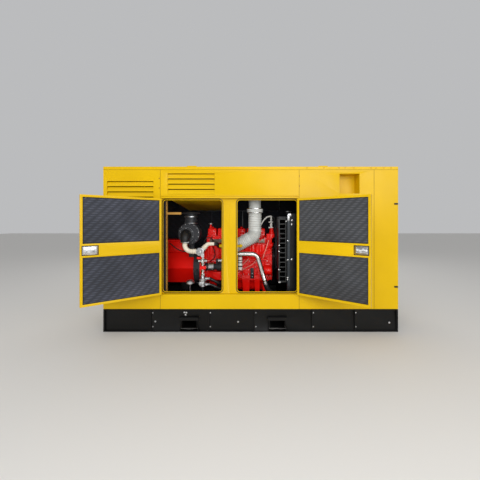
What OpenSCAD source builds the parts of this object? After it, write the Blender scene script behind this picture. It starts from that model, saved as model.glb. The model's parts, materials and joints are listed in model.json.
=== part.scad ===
// Enclosed gas generator set: a sheet-steel canopy on a skid, with a gas engine,
// an alternator and a radiator inside, and two hinged doors on the front.
// The front faces -Y, +Z is up, and the origin is under the middle of the skid.

/* [Enclosure] */
// Length of the skid and canopy
length = 3800; // [3700:20:4200]
// Depth from front to rear
depth = 1450; // [1400:10:1600]
// Height of the skid
base_h = 295; // [280:5:330]
// Height of the canopy walls above the skid
canopy_h = 1835; // [1800:5:1950]
// Thickness of the canopy sheet
sheet = 3; // [2:0.5:4]
// Depth of the returns folded round each wall panel
fold = 32; // [28:1:36]
// Thickness of the acoustic lining
lining_t = 36; // [25:1:50]

/* [Front doors] */
// Width of one door
door_w = 881; // [850:1:895]
// Height of a door
door_h = 1223; // [1180:1:1240]
// Thickness of a door
door_t = 48; // [44:1:52]
// Gap round a closed door
door_gap = 9; // [8:0.5:12]
// Where the two doors meet, from the middle of the skid
doors_mid = -270; // [-280:5:-260]
// Height of the doors' lower edge above the floor
door_z0 = 492; // [485:1:500]
// Angle at which the doors stand open
door_open = 143; // [0:1:165]
// Radius of the corners of each opening
open_r = 45; // [30:1:60]
// Width of the face that a closed door overlaps
rebate = 16; // [12:1:24]
// Width of the pillar between the openings
pillar_w = 190; // [170:5:200]

/* [Skid] */
// Thickness of the skid's channel
rail_t = 8; // [6:1:10]
// Width of the channel's flanges
rail_flange = 75; // [60:5:90]
// Inside width of a forklift pocket
pocket_w = 190; // [170:5:200]
// Inside height of a forklift pocket
pocket_h = 95; // [80:5:100]

/* [Engine] */
// Height of the crankshaft above the floor
crank_z = 740; // [730:5:760]
// Radius of the alternator's frame
alternator_r = 262; // [250:2:266]
// Number of cylinders in line
cylinders = 6; // [4:1:6]
// Diameter of the radiator fan
fan_d = 700; // [640:10:720]
// Number of fan blades
fan_blades = 8; // [6:1:10]

/* [Hidden] */
$fn = 48;
e = 0.01;
front = -depth / 2;
rear = depth / 2;
left = -length / 2;
right = length / 2;
top_z = base_h + canopy_h;
roof_h = 40;
wall_top = top_z - roof_h;
// Clearance that keeps curved faces and loose pieces apart
clear = 0.3;

// Door cut-out in the front wall
cut_l = doors_mid - door_w - 1.5 * door_gap;
cut_r = doors_mid + door_w + 1.5 * door_gap;
cut_b = door_z0 - door_gap;
cut_t = door_z0 + door_h + door_gap;
rebate_y = front + door_t + 10;
seal_t = 4;
open_l = cut_l + rebate - 3;
open_r_x = cut_r - rebate + 1;
pillar_mid = doors_mid - 6;

// Wall panels to the right of the doors
corner_w = 310;
corner_l = right - corner_w;

// Louvres
blade_pitch = 67;
louvre_l_x = -1852;
louvre_l_w = 598;
louvre_l_drop = 148;
louvre_l_top = wall_top - louvre_l_drop;
louvre_l_n = 12;
louvre_h_x = -1071;
louvre_h_w = 605;
louvre_h_drop = 48;
louvre_h_top = wall_top - louvre_h_drop;
louvre_h_n = 4;

// Louvred air inlet and outlet in the ends
inlet_w = 450;
inlet_z = 900;
inlet_n = 10;
outlet_w = 520;
outlet_z = 480;
outlet_n = 20;

// Sloping baffle and the slim post at the left opening
baffle_l = -1090;
baffle_r = -380;
baffle_z = 1622;
post_x = -1132;
post_w = 18;
post_y = -600;
post_rail_z = 1516;

// Pocket pressed into the right front panel
recess_x = 1146;
recess_w = 256;
recess_z = 1782;
recess_d = 170;

// Forklift pockets
pocket_x = [-796, 346];
pocket_z = 45;
pocket_t = 6;

// Hinges
hinge_r = 8;
pin_y = front - 9;
hinge_h = 78;
hinge_z = [door_z0 + 80, door_z0 + door_h - 80];

// Engine and alternator
block_l = -660;
block_r = 262;
block_w = 400;
block_bottom = 560;
coolant_port = -block_w / 2 - 36;
coolant_x = -330;
coolant_y = -498;
coolant_z = 976;
head_z = 1090;
cover_z = 1190;
cover_top = 1322;
alt_l = -1640;
alt_r = -835;
bell_r = -740;
bearer_h = 90;
bearer_y = 250;
deck_t = 5;
deck_z = base_h - deck_t;
bearer_top = base_h + bearer_h;
alt_bottom = crank_z - alternator_r * cos(30);
fan_z = 1040;
fan_x = 415;
shaft_r = 16;
shaft_gap = 0.05;
rad_l = 490;
rad_r = 610;
rad_w = 1160;
rad_z0 = 560;
rad_z1 = 1520;

// Air and gas train in front of the engine
filter_x = -872;
filter_z = 1250;
filter_r = 155;
filter_front = -400;
filter_rear = -178;
filter_mid = -300;
// Raised boss on the cleaner's front, low and to the left
boss_x = filter_x - 33;
boss_z = filter_z - 15;
boss_r = 100;
mixer_x = -690;
mixer_z = 1012;

// Exhaust
exhaust_x = 58;
exhaust_y = -360;
exhaust_r = 94;
exhaust_bend = 130;
exhaust_turn = 62;
elbow_z = 1298;
turbine_x = -230;
// Where the slanting pipe meets the turbine
turbo_z = elbow_z - exhaust_bend * sin(exhaust_turn)
    - (exhaust_x - exhaust_bend * (1 - cos(exhaust_turn)) - turbine_x) / tan(exhaust_turn);

// Silencer under the roof and its outlet
silencer_r = 130;
silencer_z = 1900;
silencer_port = -silencer_r - 40;
outlet_x = 1150;
outlet_r = 60;

// Shared shapes

// A box given by its lowest and highest corner
module block(a, b) {
    translate(a) cube(b - a);
}

// A cylinder along X from x0 to x1
module rod_x(x0, x1, y, z, r, sides = $fn) {
    translate([x0, y, z]) rotate([0, 90, 0]) rotate([0, 0, sides == 6 ? 90 : 0])
        cylinder(h = x1 - x0, r = r, $fn = sides);
}

// A cylinder along Y from y0 to y1
module rod_y(y0, y1, x, z, r) {
    translate([x, y0, z]) rotate([-90, 0, 0]) cylinder(h = y1 - y0, r = r);
}

// A cylinder along Z from z0 to z1
module rod_z(z0, z1, x, y, r) {
    translate([x, y, z0]) cylinder(h = z1 - z0, r = r);
}

// A flat outline in X and Z, drawn at its place and thickened towards +Y from y0
module plate_xz(y0, thick) {
    translate([0, y0 + thick, 0]) rotate([90, 0, 0]) linear_extrude(thick) children();
}

// A profile in Y and Z, drawn along X from x0 to x1
module bar_x(x0, x1) {
    translate([x0, 0, 0]) rotate([90, 0, 90]) linear_extrude(x1 - x0) children();
}

// A profile in X and Z, drawn along Y from y0 to y1
module bar_y(y0, y1) {
    translate([0, y1, 0]) rotate([90, 0, 0]) linear_extrude(y1 - y0) children();
}

// A rectangle with round corners, given by two corners
module round_rect(a, b, r) {
    w = b[0] - a[0];
    h = b[1] - a[1];
    translate([a[0] + r, a[1]]) square([w - 2 * r, h]);
    translate([a[0], a[1] + r]) square([w, h - 2 * r]);
    for (x = [a[0] + r, b[0] - r], z = [a[1] + r, b[1] - r])
        translate([x, z]) circle(r = r);
}

// A sheet panel on the front wall with its edges folded back
module tray(x0, x1, z0, z1) {
    difference() {
        block([x0, front, z0], [x1, front + fold, z1]);
        block([x0 + sheet, front + sheet, z0 + sheet],
              [x1 - sheet, front + fold + 1, z1 - sheet]);
    }
}

// One quarter of a pipe bend: starts at the origin going down, and turns towards +X
module bend(turn, bend_r, pipe_r) {
    translate([bend_r, 0, 0]) rotate([90, 0, 0]) rotate([0, 0, 180])
        rotate_extrude(angle = turn) translate([bend_r, 0]) circle(r = pipe_r);
}

// A tube swept along hand-placed points, each ring square to the run
function unit(v) = v / norm(v);
function heading(p, i) = unit(i == 0 ? p[1] - p[0]
    : i == len(p) - 1 ? p[i] - p[i - 1]
    : unit(p[i + 1] - p[i]) + unit(p[i] - p[i - 1]));
function side_of(t) = unit(cross(t, abs(t[2]) < 0.9 ? [0, 0, 1] : [0, 1, 0]));
function ring(p, i, r, n) = let (t = heading(p, i), s = side_of(t), u = cross(s, t))
    [for (k = [0 : n - 1]) p[i] + r * (cos(360 * k / n) * s + sin(360 * k / n) * u)];
module swept(p, r, n = 10) {
    m = len(p);
    points = [for (i = [0 : m - 1]) each ring(p, i, r, n)];
    sides = [for (i = [0 : m - 2], k = [0 : n - 1]) let (j = (k + 1) % n)
        [i * n + k, i * n + j, (i + 1) * n + j, (i + 1) * n + k]];
    ends = [[for (k = [n - 1 : -1 : 0]) k], [for (k = [0 : n - 1]) (m - 1) * n + k]];
    polyhedron(points, concat(sides, ends));
}

// Turns its children as a door does about its pin
module door_pose_left() {
    translate([cut_l + door_gap / 2, pin_y, 0]) rotate([0, 0, -door_open])
        translate([-cut_l - door_gap / 2, -pin_y, 0]) children();
}
module door_pose_right() {
    translate([cut_r - door_gap / 2, pin_y, 0]) rotate([0, 0, door_open])
        translate([-cut_r + door_gap / 2, -pin_y, 0]) children();
}

// Skid

// Channel profile of the front rail, web to the front and flanges inwards
module rail_profile() {
    web = front + 22;
    difference() {
        translate([front, 0]) square([rail_flange, base_h - deck_t]);
        translate([web + rail_t, rail_t]) square([rail_flange, base_h - deck_t - 2 * rail_t]);
        translate([front - 1, rail_t]) square([web - front + 1, base_h - deck_t - 2 * rail_t]);
    }
}

module rail_ribs() {
    inset = 22;
    for (x = [left, -1290, -545, 45, 790, 1340, right - 20])
        block([x, front + 1, rail_t - e], [x + (x == left || x > 1800 ? 20 : 10),
              front + inset + e, base_h - deck_t - rail_t + e]);
}

module front_rail() {
    o = pocket_w / 2 + pocket_t;
    difference() {
        union() {
            bar_x(left, right) rail_profile();
            rail_ribs();
        }
        for (x = pocket_x) {
            bar_y(front + 21, front + 40) polygon([[x - o - 20, rail_t], [x + o + 20, rail_t],
                [x + o, pocket_z + pocket_h + pocket_t + 1], [x - o, pocket_z + pocket_h + pocket_t + 1]]);
            block([x - o, front + 21, pocket_z - pocket_t],
                  [x + o, front + rail_flange + 1, pocket_z + pocket_h + pocket_t]);
        }
    }
}

module skid_rails() color("#161616") {
    front_rail();
    mirror([0, 1, 0]) front_rail();
}

// Deck plate with the cross members welded under it
module skid_deck() color("#101010") {
    inner = rail_flange + 1;
    block([left, front + 12, deck_z], [right, rear - 12, base_h]);
    for (x = [left + 4, -1190, -40, 900, right - 84])
        block([x, front + inner, 0], [x + 80, rear - inner, deck_z + e]);
}

// A square tube through the skid, flared at each mouth
module pocket_tube(x) {
    i = pocket_w / 2;
    o = i + pocket_t;
    z1 = pocket_z + pocket_h;
    difference() {
        block([x - o, front + 24, pocket_z - pocket_t], [x + o, rear - 24, z1 + pocket_t]);
        block([x - i, front, pocket_z], [x + i, rear, z1]);
    }
    // Lintel and flared guide plates at each mouth
    for (s = [0, 1]) mirror([0, s, 0]) {
        block([x - i - 28, front - 4, z1 + pocket_t], [x + i + 28, front + 22, z1 + pocket_t + 40]);
        for (k = [-1, 1]) bar_y(front - 2, front + 25)
            polygon([[x + k * i, z1 + pocket_t + 1], [x + k * o, z1 + pocket_t + 1],
                     [x + k * (o + 20), rail_t], [x + k * (i + 20), rail_t]]);
    }
}

module forklift_pockets() color("#26221f") for (x = pocket_x) pocket_tube(x);

// Bearers that carry the engine, the alternator and the radiator
module engine_bearers() color("#141414") {
    for (s = [-1, 1]) difference() {
        block([alt_l, s * bearer_y - 45, base_h], [rad_l - 80, s * bearer_y + 45, bearer_top]);
        block([alt_l - 1, s * bearer_y + (s < 0 ? -46 : 8 - 45 + 1), base_h + 8],
              [rad_l - 70, s * bearer_y + (s < 0 ? 37 - 1 : 46), bearer_top - 8]);
    }
    block([rad_l - 50, -rad_w / 2, base_h], [rad_r + 30, rad_w / 2, base_h + 60]);
    // Cradles under the alternator's flat bottom
    for (x = [alt_l + 160, alt_r - 160]) for (s = [-1, 1]) {
        block([x - 60, s * 192 - 102, bearer_top - e], [x + 60, s * 192 + 102, bearer_top + 16]);
        block([x - 50, s * 110 - 16, bearer_top + 15], [x + 50, s * 110 + 16, alt_bottom]);
    }
    // Front feet under the crankcase flange
    for (s = [-1, 1])
        block([-500, s * 220 - 12, bearer_top - e], [-410, s * 220 + 12, block_bottom]);
}

// Front wall

module front_panel_left() color("#efc411") difference() {
    tray(left, cut_l, base_h, wall_top);
    block([louvre_l_x, front - 1, louvre_l_top - louvre_l_n * blade_pitch],
          [louvre_l_x + louvre_l_w, front + sheet + 1, louvre_l_top]);
}

module front_header() color("#efc411") {
    difference() {
        tray(cut_l, cut_r, cut_t, wall_top);
        block([louvre_h_x, front - 1, louvre_h_top - louvre_h_n * blade_pitch],
              [louvre_h_x + louvre_h_w, front + sheet + 1, louvre_h_top]);
    }
    gutter_z = cut_t + 22;
    bar_x(cut_l, cut_r) polygon([[front + e, gutter_z], [front - 12, gutter_z + 3],
        [front - 12, gutter_z + 10], [front - 9, gutter_z + 10], [front - 9, gutter_z + 6],
        [front + e, gutter_z + 4]]);
}

module front_sill() color("#efc411") tray(cut_l, cut_r, base_h, cut_b);

module front_panel_right() color("#efc411") difference() {
    tray(cut_r, corner_l, base_h, wall_top);
    block([recess_x, front - 1, recess_z],
          [recess_x + recess_w, front + sheet + 1, recess_z + recess_w]);
}

// The end section wraps round the corner
module corner_panel_right() color("#efc411") {
    tray(corner_l, right, base_h, wall_top);
}

// The frame that a door closes into, with a round-cornered opening
module surround(x0, x1, o0, o1, lip = 14) {
    o_b = cut_b + rebate;
    o_t = cut_t - rebate;
    plate_xz(rebate_y, sheet) difference() {
        translate([x0, cut_b - sheet]) square([x1 - x0, cut_t - cut_b + 2 * sheet]);
        round_rect([o0, o_b], [o1, o_t], open_r);
    }
    if (lip > 0) plate_xz(rebate_y + e, lip) difference() {
        round_rect([o0 - sheet, o_b - sheet], [o1 + sheet, o_t + sheet], open_r + sheet);
        round_rect([o0, o_b], [o1, o_t], open_r);
    }
    // Sides that carry the face back from the wall
    for (z = [cut_b - sheet, cut_t])
        block([x0, front + fold, z], [x1, rebate_y + e, z + sheet]);
}
module surround_left(lip = 14) {
    surround(cut_l - sheet, pillar_mid, open_l, pillar_mid - pillar_w / 2, lip);
    block([cut_l - sheet, front + fold, cut_b], [cut_l, rebate_y + e, cut_t]);
}
module surround_right(lip = 14) {
    surround(pillar_mid, cut_r + sheet, pillar_mid + pillar_w / 2, open_r_x, lip);
    block([cut_r, front + fold, cut_b], [cut_r + sheet, rebate_y + e, cut_t]);
}

module door_surround_left() color("#efc411") surround_left();

module door_surround_right() color("#efc411") surround_right();

// A set of steep blades in a frame, behind a cut-out in the wall
module louvre(x, w, z_top, n) {
    y0 = front + sheet;
    rim = 12;
    h = n * blade_pitch;
    deep = 24;
    difference() {
        block([x - rim, y0, z_top - h - rim], [x + w + rim, y0 + deep, z_top + rim]);
        block([x, y0 - 1, z_top - h], [x + w, y0 + deep + 1, z_top]);
    }
    for (k = [0 : n - 1]) let (z = z_top - (k + 1) * blade_pitch + 2)
        bar_x(x - e, x + w + e) polygon([[y0, z], [y0 + 2, z], [y0 + 2, z + 12],
            [y0 + 22, z + 46], [y0 + 22, z + 58], [y0 + 20, z + 58], [y0 + 20, z + 47], [y0, z + 13]]);
}

module front_louvres() color("#e8bd10") {
    louvre(louvre_l_x, louvre_l_w, louvre_l_top, louvre_l_n);
    louvre(louvre_h_x, louvre_h_w, louvre_h_top, louvre_h_n);
}

module wall_recess() color("#e5b60d") {
    y0 = front + sheet;
    difference() {
        block([recess_x - sheet, y0, recess_z - sheet],
              [recess_x + recess_w + sheet, y0 + recess_d, recess_z + recess_w + sheet]);
        block([recess_x, y0 - 1, recess_z],
              [recess_x + recess_w, y0 + recess_d - sheet, recess_z + recess_w]);
    }
}

// Rubber seal round each opening, flat on the frame's face
module door_seals() color("#111111") {
    for (o = [[open_l, pillar_mid - pillar_w / 2], [pillar_mid + pillar_w / 2, open_r_x]])
        plate_xz(rebate_y - seal_t, seal_t) seal_ring(o, rebate - 4, -4);
}
module seal_ring(o, out, inward) difference() {
    round_rect([o[0] - out, cut_b + rebate - out], [o[1] + out, cut_t - rebate + out], open_r + out);
    round_rect([o[0] + inward, cut_b + rebate + inward],
               [o[1] - inward, cut_t - rebate - inward], open_r - inward);
}

// Fixed halves of the door hinges
module knuckle_fixed(x, s) {
    for (z = hinge_z) {
        rod_z(z - hinge_h / 2, z - hinge_h / 6 - clear, x, pin_y, hinge_r);
        rod_z(z + hinge_h / 6 + clear, z + hinge_h / 2, x, pin_y, hinge_r);
        rod_z(z - hinge_h / 6 - clear - e, z + hinge_h / 6 + clear + e, x, pin_y, 4);
        for (q = [[z - hinge_h / 2, z - hinge_h / 6 - clear], [z + hinge_h / 6 + clear, z + hinge_h / 2]])
            block([min(x, x + s * 30), front - 4, q[0]], [max(x, x + s * 30), front, q[1]]);
    }
}

module hinge_knuckles() color("#1b1b1b") {
    knuckle_fixed(cut_l + door_gap / 2, -1);
    knuckle_fixed(cut_r - door_gap / 2, 1);
}

// Two small fittings at the right front corner
module corner_fittings() color("#1b1b1b") for (z = [582, 1650])
    block([right - 52, front - 10, z - 10], [right - 6, front, z + 10]);

// Rear wall: the front's layout again, with its doors shut

module rear_tray(x0, x1, z0, z1) {
    mirror([0, 1, 0]) tray(x0, x1, z0, z1);
}

module rear_panels() color("#efc411") {
    difference() {
        rear_tray(left, cut_l, base_h, wall_top);
        block([louvre_l_x, rear - sheet - 1, louvre_l_top - louvre_h_n * blade_pitch],
              [louvre_l_x + louvre_l_w, rear + 1, louvre_l_top]);
    }
    mirror([0, 1, 0]) translate([0, -e, 0]) louvre(louvre_l_x, louvre_l_w, louvre_l_top, louvre_h_n);
    rear_tray(cut_r, right, base_h, wall_top);
}

module rear_door_frame() color("#efc411") mirror([0, 1, 0]) {
    tray(cut_l, cut_r, cut_t, wall_top);
    tray(cut_l, cut_r, base_h, cut_b);
    surround_left(0);
    surround_right(0);
    for (z = hinge_z) for (x = [cut_l, cut_r - door_gap])
        block([x, front, z - hinge_h / 2], [x + door_gap, front + 6, z + hinge_h / 2]);
}

module rear_doors() color("#efc411") for (x = [cut_l + door_gap, doors_mid + door_gap / 2])
    difference() {
        block([x, rear - door_t, door_z0], [x + door_w, rear, door_z0 + door_h]);
        block([x + door_w / 2 - 70, rear - 14, door_z0 + door_h / 2 - 45],
              [x + door_w / 2 + 70, rear + 1, door_z0 + door_h / 2 + 45]);
    }

// Ends

module end_wall_left() color("#efc411") {
    difference() {
        block([left, front + fold, base_h], [left + sheet, rear - fold, wall_top]);
        block([left - 1, -inlet_w, inlet_z], [left + sheet + 1, inlet_w, inlet_z + inlet_n * blade_pitch]);
    }
}

module end_wall_right() color("#efc411") {
    difference() {
        block([right - sheet, front + fold, base_h], [right, rear - fold, wall_top]);
        block([right - sheet - 1, -outlet_w, outlet_z],
              [right + 1, outlet_w, outlet_z + outlet_n * blade_pitch]);
    }
}

module end_louvre_set(s, half_w, z0, n) {
    x0 = s * right - s * sheet;
    deep = s * 22;
    rim = 12;
    h = n * blade_pitch;
    a = min(x0, x0 - deep);
    b = max(x0, x0 - deep);
    difference() {
        block([a, -half_w - rim, z0 - rim], [b, half_w + rim, z0 + h + rim]);
        block([a - 1, -half_w, z0], [b + 1, half_w, z0 + h]);
    }
    for (k = [0 : n - 1]) let (z = z0 + k * blade_pitch + 2)
        bar_y(-half_w - e, half_w + e) polygon([[x0, z], [x0 - s * 2, z], [x0 - s * 2, z + 12],
            [x0 - deep, z + 46], [x0 - deep, z + 58], [x0 - deep + s * 2, z + 58],
            [x0 - deep + s * 2, z + 47], [x0, z + 13]]);
}

module end_louvres() color("#e8bd10") {
    end_louvre_set(-1, inlet_w, inlet_z, inlet_n);
    end_louvre_set(1, outlet_w, outlet_z, outlet_n);
}

// Roof tray with lifting eyes welded on and an exhaust outlet near the rear
module roof() color("#efc411") {
    difference() {
        union() {
            block([left, front, wall_top], [right, rear, top_z]);
            rod_z(top_z - e, top_z + 110, outlet_x, 0, outlet_r + 20);
        }
        block([left + sheet, front + sheet, wall_top - 1], [right - sheet, rear - sheet, top_z - sheet]);
        rod_z(wall_top, top_z + 120, outlet_x, 0, outlet_r + 16);
    }
    for (x = [-765, 940], s = [-1, 1])
        block([x - 60, s * (rear - 40) - 12, top_z - e], [x + 60, s * (rear - 40) + 12, top_z + 16]);
}

// Sloping floor of the air inlet over the alternator's end of the engine room
module roof_baffle() color("#c89a12") {
    y1 = rear - 102;
    bar_x(baffle_l, baffle_r) polygon([[front + fold, cut_t + 3], [rebate_y + 17, cut_t + 3], [y1, baffle_z],
        [y1, baffle_z + 3], [rebate_y + 17, cut_t + 6], [front + fold, cut_t + 6]]);
}

// Slim upright and rail inside the left opening
module inner_frame() color("#b98d3a") {
    block([post_x, post_y, base_h], [post_x + post_w, post_y + 30, top_z - sheet - lining_t]);
    block([post_x + post_w - e, post_y + 4, post_rail_z], [-930, post_y + 26, post_rail_z + 30]);
}

// Acoustic lining on the walls and under the roof
module wall_linings() color("#17181c") {
    t = lining_t;
    gap = 2;
    y1 = rear - door_t - 10 - sheet;
    top = top_z - sheet - t;
    // Boards in front of the rear wall, from the deck to the ceiling
    block([left + sheet, y1 - t, base_h], [pillar_mid - 1, y1, top - gap]);
    block([pillar_mid + 1, y1 - t, base_h], [right - sheet, y1, top - gap]);
    // Narrow board that closes the gap left of the post
    block([post_x - 118, post_y + 2, base_h], [post_x, post_y + 28, top - gap]);
    // Under the roof
    difference() {
        block([left + 8, front + 8, top], [right - 8, rear - 8, top_z - sheet]);
        rod_z(top - 1, top_z, outlet_x, 0, outlet_r + 20);
    }
    // On the front wall to the right of the doors
    block([cut_r + 8, front + sheet, base_h + 6], [recess_x - 10, front + sheet + t, wall_top - 6]);
}

// Doors, modelled shut and turned to where they stand

// Door shell: a folded tray with a middle band for the lock, open to the inside
module door_shell(x0) {
    rim = 26;
    band = 150;
    mid = door_z0 + door_h / 2;
    x1 = x0 + door_w;
    z1 = door_z0 + door_h;
    difference() {
        block([x0, front, door_z0], [x1, front + door_t, z1]);
        for (q = [[door_z0 + rim, mid - band / 2], [mid + band / 2, z1 - rim]])
            block([x0 + rim, front + sheet, q[0]], [x1 - rim, front + door_t + 1, q[1]]);
    }
}

module door_pads(x0) {
    rim = 26;
    band = 150;
    mid = door_z0 + door_h / 2;
    for (q = [[door_z0 + rim, mid - band / 2], [mid + band / 2, door_z0 + door_h - rim]])
        block([x0 + rim, front + sheet, q[0]], [x0 + door_w - rim, front + door_t - 3, q[1]]);
}

module leaf(x, s) {
    for (z = hinge_z) {
        difference() {
            union() {
                rod_z(z - hinge_h / 6 + clear, z + hinge_h / 6 - clear, x, pin_y, hinge_r);
                block([min(x + s * 4, x + s * 32), front - 4, z - hinge_h / 6 + clear],
                      [max(x + s * 4, x + s * 32), front, z + hinge_h / 6 - clear]);
            }
            rod_z(z - hinge_h, z + hinge_h, x, pin_y, 4 + clear);
        }
    }
}

lock_w = 150;
lock_h = 92;

// Pocket for the lock, cut through the door's middle band
module lock_cut(x) {
    block([x, front - 1, door_z0 + door_h / 2 - lock_h / 2],
          [x + lock_w, front + door_t + 1, door_z0 + door_h / 2 + lock_h / 2]);
}

// Flush paddle lock: dished cup, paddle outside and mechanism inside
module lock_body(x) {
    z = door_z0 + door_h / 2;
    difference() {
        block([x, front - 2, z - lock_h / 2], [x + lock_w, front + 22, z + lock_h / 2]);
        block([x + 12, front - 3, z - lock_h / 2 + 12], [x + lock_w - 12, front + 16, z + lock_h / 2 - 12]);
    }
    block([x + 30, front - 1, z - 24], [x + lock_w - 12 - e, front + 16 + e, z + 24]);
    block([x + 14, front + 22 - e, z - 30], [x + lock_w - 14, front + 34, z + 30]);
    rod_y(front + 34 - e, front + 40, x + 40, z, 16);
    rod_y(front + 34 - e, front + 40, x + lock_w - 40, z, 16);
    block([x + 52, front + 34 - e, z - 12], [x + lock_w - 52, front + 44, z + 12]);
}

door_l0 = cut_l + door_gap;
door_r0 = doors_mid + door_gap / 2;
lock_l_x = door_l0 + door_w - lock_w - 22;
lock_r_x = door_r0 + 22;

module door_left() color("#f0c612") door_pose_left() {
    difference() {
        door_shell(door_l0);
        lock_cut(lock_l_x);
    }
    leaf(cut_l + door_gap / 2, 1);
}
module door_left_pads() color("#2d2f36") door_pose_left() door_pads(door_l0);
module door_left_lock() color("#8b8d90") door_pose_left() lock_body(lock_l_x);
module door_right() color("#f0c612") door_pose_right() {
    difference() {
        door_shell(door_r0);
        lock_cut(lock_r_x);
    }
    leaf(cut_r - door_gap / 2, -1);
}
module door_right_pads() color("#2d2f36") door_pose_right() door_pads(door_r0);
module door_right_lock() color("#8b8d90") door_pose_right() lock_body(lock_r_x);

// Alternator and engine

// Welded frame with folded sides and end bells
module alternator() color("#c4170f") {
    r = alternator_r;
    rod_x(alt_l + 90, alt_r, 0, crank_z, r, 6);
    rod_x(alt_l, alt_l + 91, 0, crank_z, r * 0.82);
    rod_x(alt_l - 30, alt_l + 1, 0, crank_z, 90);
}

module terminal_box() color("#b5140d") {
    z0 = crank_z + alternator_r * cos(30);
    z1 = 1150;
    y0 = filter_rear + 8;
    difference() {
        block([alt_l + 130, y0, z0], [-1000, -y0 + 60, z1]);
        for (k = [0 : 4])
            block([alt_l + 170 + k * 30, y0 - 1, z0 + 40], [alt_l + 182 + k * 30, y0 + 7, z1 - 30]);
    }
    block([-1215, y0 - 6, z0 + 20], [-1020, y0 + e, z1 - 20]);
}

// Dark adapter between the alternator and the flywheel housing
module coupling_ring() color("#2b2a29") {
    difference() {
        rod_x(alt_r, bell_r, 0, crank_z, 285);
        for (a = [20 : 40 : 340])
            translate([(alt_r + bell_r) / 2, 0, crank_z]) rotate([a, 0, 0])
                translate([0, 0, 285]) cube([46, 90, 30], center = true);
    }
}

// Crankcase with its ribbed side, flywheel housing and engine feet
module engine_block() color("#cc1810") {
    w = block_w / 2;
    pitch = (block_r - block_l) / cylinders;
    rod_x(bell_r, block_l - 40, 0, crank_z, 300);
    rod_x(block_l - 41, block_l, 0, crank_z, 262);
    block([block_l - 30, -w + 12, block_bottom + 30], [block_l + 1, w - 12, 900]);
    difference() {
        block([block_l, -w, block_bottom], [block_r, w, head_z]);
        for (k = [0 : cylinders - 1]) for (s = [-1, 1])
            let (x = block_l + k * pitch)
            block([x + 16, s * w - 14, 850], [x + pitch - 16, s * w + 14, 930]);
    }
    // Swells over the cylinders, core plugs and ribs
    for (k = [0 : cylinders - 1]) let (x = block_l + (k + 0.5) * pitch) {
        rod_z(940, head_z - 12, x, -w + 26, 52);
        rod_y(-w - 10, -w + 1, x, 720, 26);
    }
    for (k = [0 : cylinders]) let (x = block_l + k * pitch)
        block([max(x - 7, block_l), -w - 22, block_bottom + 20], [min(x + 7, block_r), -w + 1, 846]);
    block([block_l, -w - 22, 830], [block_r, -w + 1, 850]);
    block([block_l, -w - 30, block_bottom], [block_r, w + 30, block_bottom + 24]);
    rod_y(coolant_port, 0, coolant_x, coolant_z, 36);
    // Side box below the starter
    block([-550, -290, block_bottom + 20], [-436, -w + e, 694]);
    // Tapered legs down to the bearers
    for (s = [0, 1]) mirror([0, s, 0]) for (q = [[-131, -11, -112, -24], [45, 130, 62, 126]])
        bar_y(-262, -w + e) polygon([[q[0], 640], [q[2], bearer_top], [q[3], bearer_top], [q[1], 640]]);
    for (s = [0, 1]) mirror([0, s, 0])
        bar_y(-262, -w + e) polygon([[158, 690], [178, bearer_top], [218, bearer_top], [243, 690]]);
}

module cylinder_head() color("#cf1a12") {
    pitch = (block_r - block_l) / cylinders;
    block([block_l, -150, head_z], [block_r - 40, 150, cover_z]);
    for (k = [0 : cylinders - 1]) let (x = block_l + (k + 0.5) * pitch - 3) {
        block([x - 42, -186, head_z + 14], [x + 42, -150 + e, head_z + 84]);
        rod_y(-214, -186 + e, x, head_z + 49, 30);
    }
}

// One cover for each cylinder, with a raised top
module rocker_cover(x, w) {
    difference() {
        union() {
            block([x - w / 2, -130, cover_z], [x + w / 2, 130, cover_z + 16]);
            hull() {
                block([x - w / 2 + 9, -118, cover_z + 15], [x + w / 2 - 9, 118, cover_z + 70]);
                block([x - w / 2 + 20, -84, cover_z + 70], [x + w / 2 - 20, 84, cover_top]);
            }
        }
    }
    rod_z(cover_top - e, cover_top + 14, x, -30, 12);
}

module rocker_covers() color("#d81c13") {
    pitch = (block_r - block_l - 40) / cylinders;
    for (k = [0 : cylinders - 1])
        rocker_cover(block_l + (k + 0.5) * pitch, pitch - 10);
}

module oil_pan() color("#b8150e") {
    z1 = block_bottom;
    block([block_l + 10, -185, z1 - 18], [block_r - 10, 185, z1]);
    hull() {
        block([block_l + 40, -150, z1 - 90], [block_r - 40, 150, z1 - 17]);
        block([-140, -130, 405], [200, 130, 420]);
    }
    rod_y(-160, -129, 30, 440, 14);
}

module timing_cover() color("#c9180f") {
    x = block_r + 50;
    block([block_r, -190, block_bottom], [x, 190, head_z]);
    rod_x(x - 1, x + 7, 0, crank_z, 120);
    rod_x(x - 1, x + 7, 0, fan_z, 50);
    rod_x(x - 1, fan_x - 24, 0, fan_z, shaft_r);
    for (y = [-150, -60, 60, 150]) rod_x(x - 1, x + 10, y, 620, 12);
}

// Starter: nose, motor body and solenoid
module starter_motor() color("#3a3a3c") {
    y = -286;
    z = 770;
    rod_x(block_l, block_l + 34, y, z, 56);
    rod_x(block_l + 33, -488, y, z, 45);
    rod_x(-489, -292, y, z, 60);
    rod_x(-293, -282, y, z, 50);
    rod_x(-500, -350, y - 20, z + 92, 28);
    block([-500, y - 30, z + 40], [-480, y, z + 84]);
    block([-380, y - 30, z + 40], [-360, y, z + 84]);
}

module thermostat_housing() color("#d21a12") {
    y = -120;
    x = block_r + 50;
    block([block_r - 30, y - 70, head_z], [x - 1, y + 70, cover_z + 1]);
    block([block_r - 30, y - 70, cover_z], [x + 36, y + 70, cover_z + 50]);
    translate([x, y, cover_z + 49]) cylinder(h = 60, r1 = 44, r2 = 28);
    rod_z(cover_z + 108, cover_z + 136, x, y, 28);
    rod_y(y - 100, y - 69, x - 10, cover_z + 14, 34);
}

// Crank and idler pulleys, and the flat belt that also turns the fan
belt_x = block_r + 76;
belt_t = 5;
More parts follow.
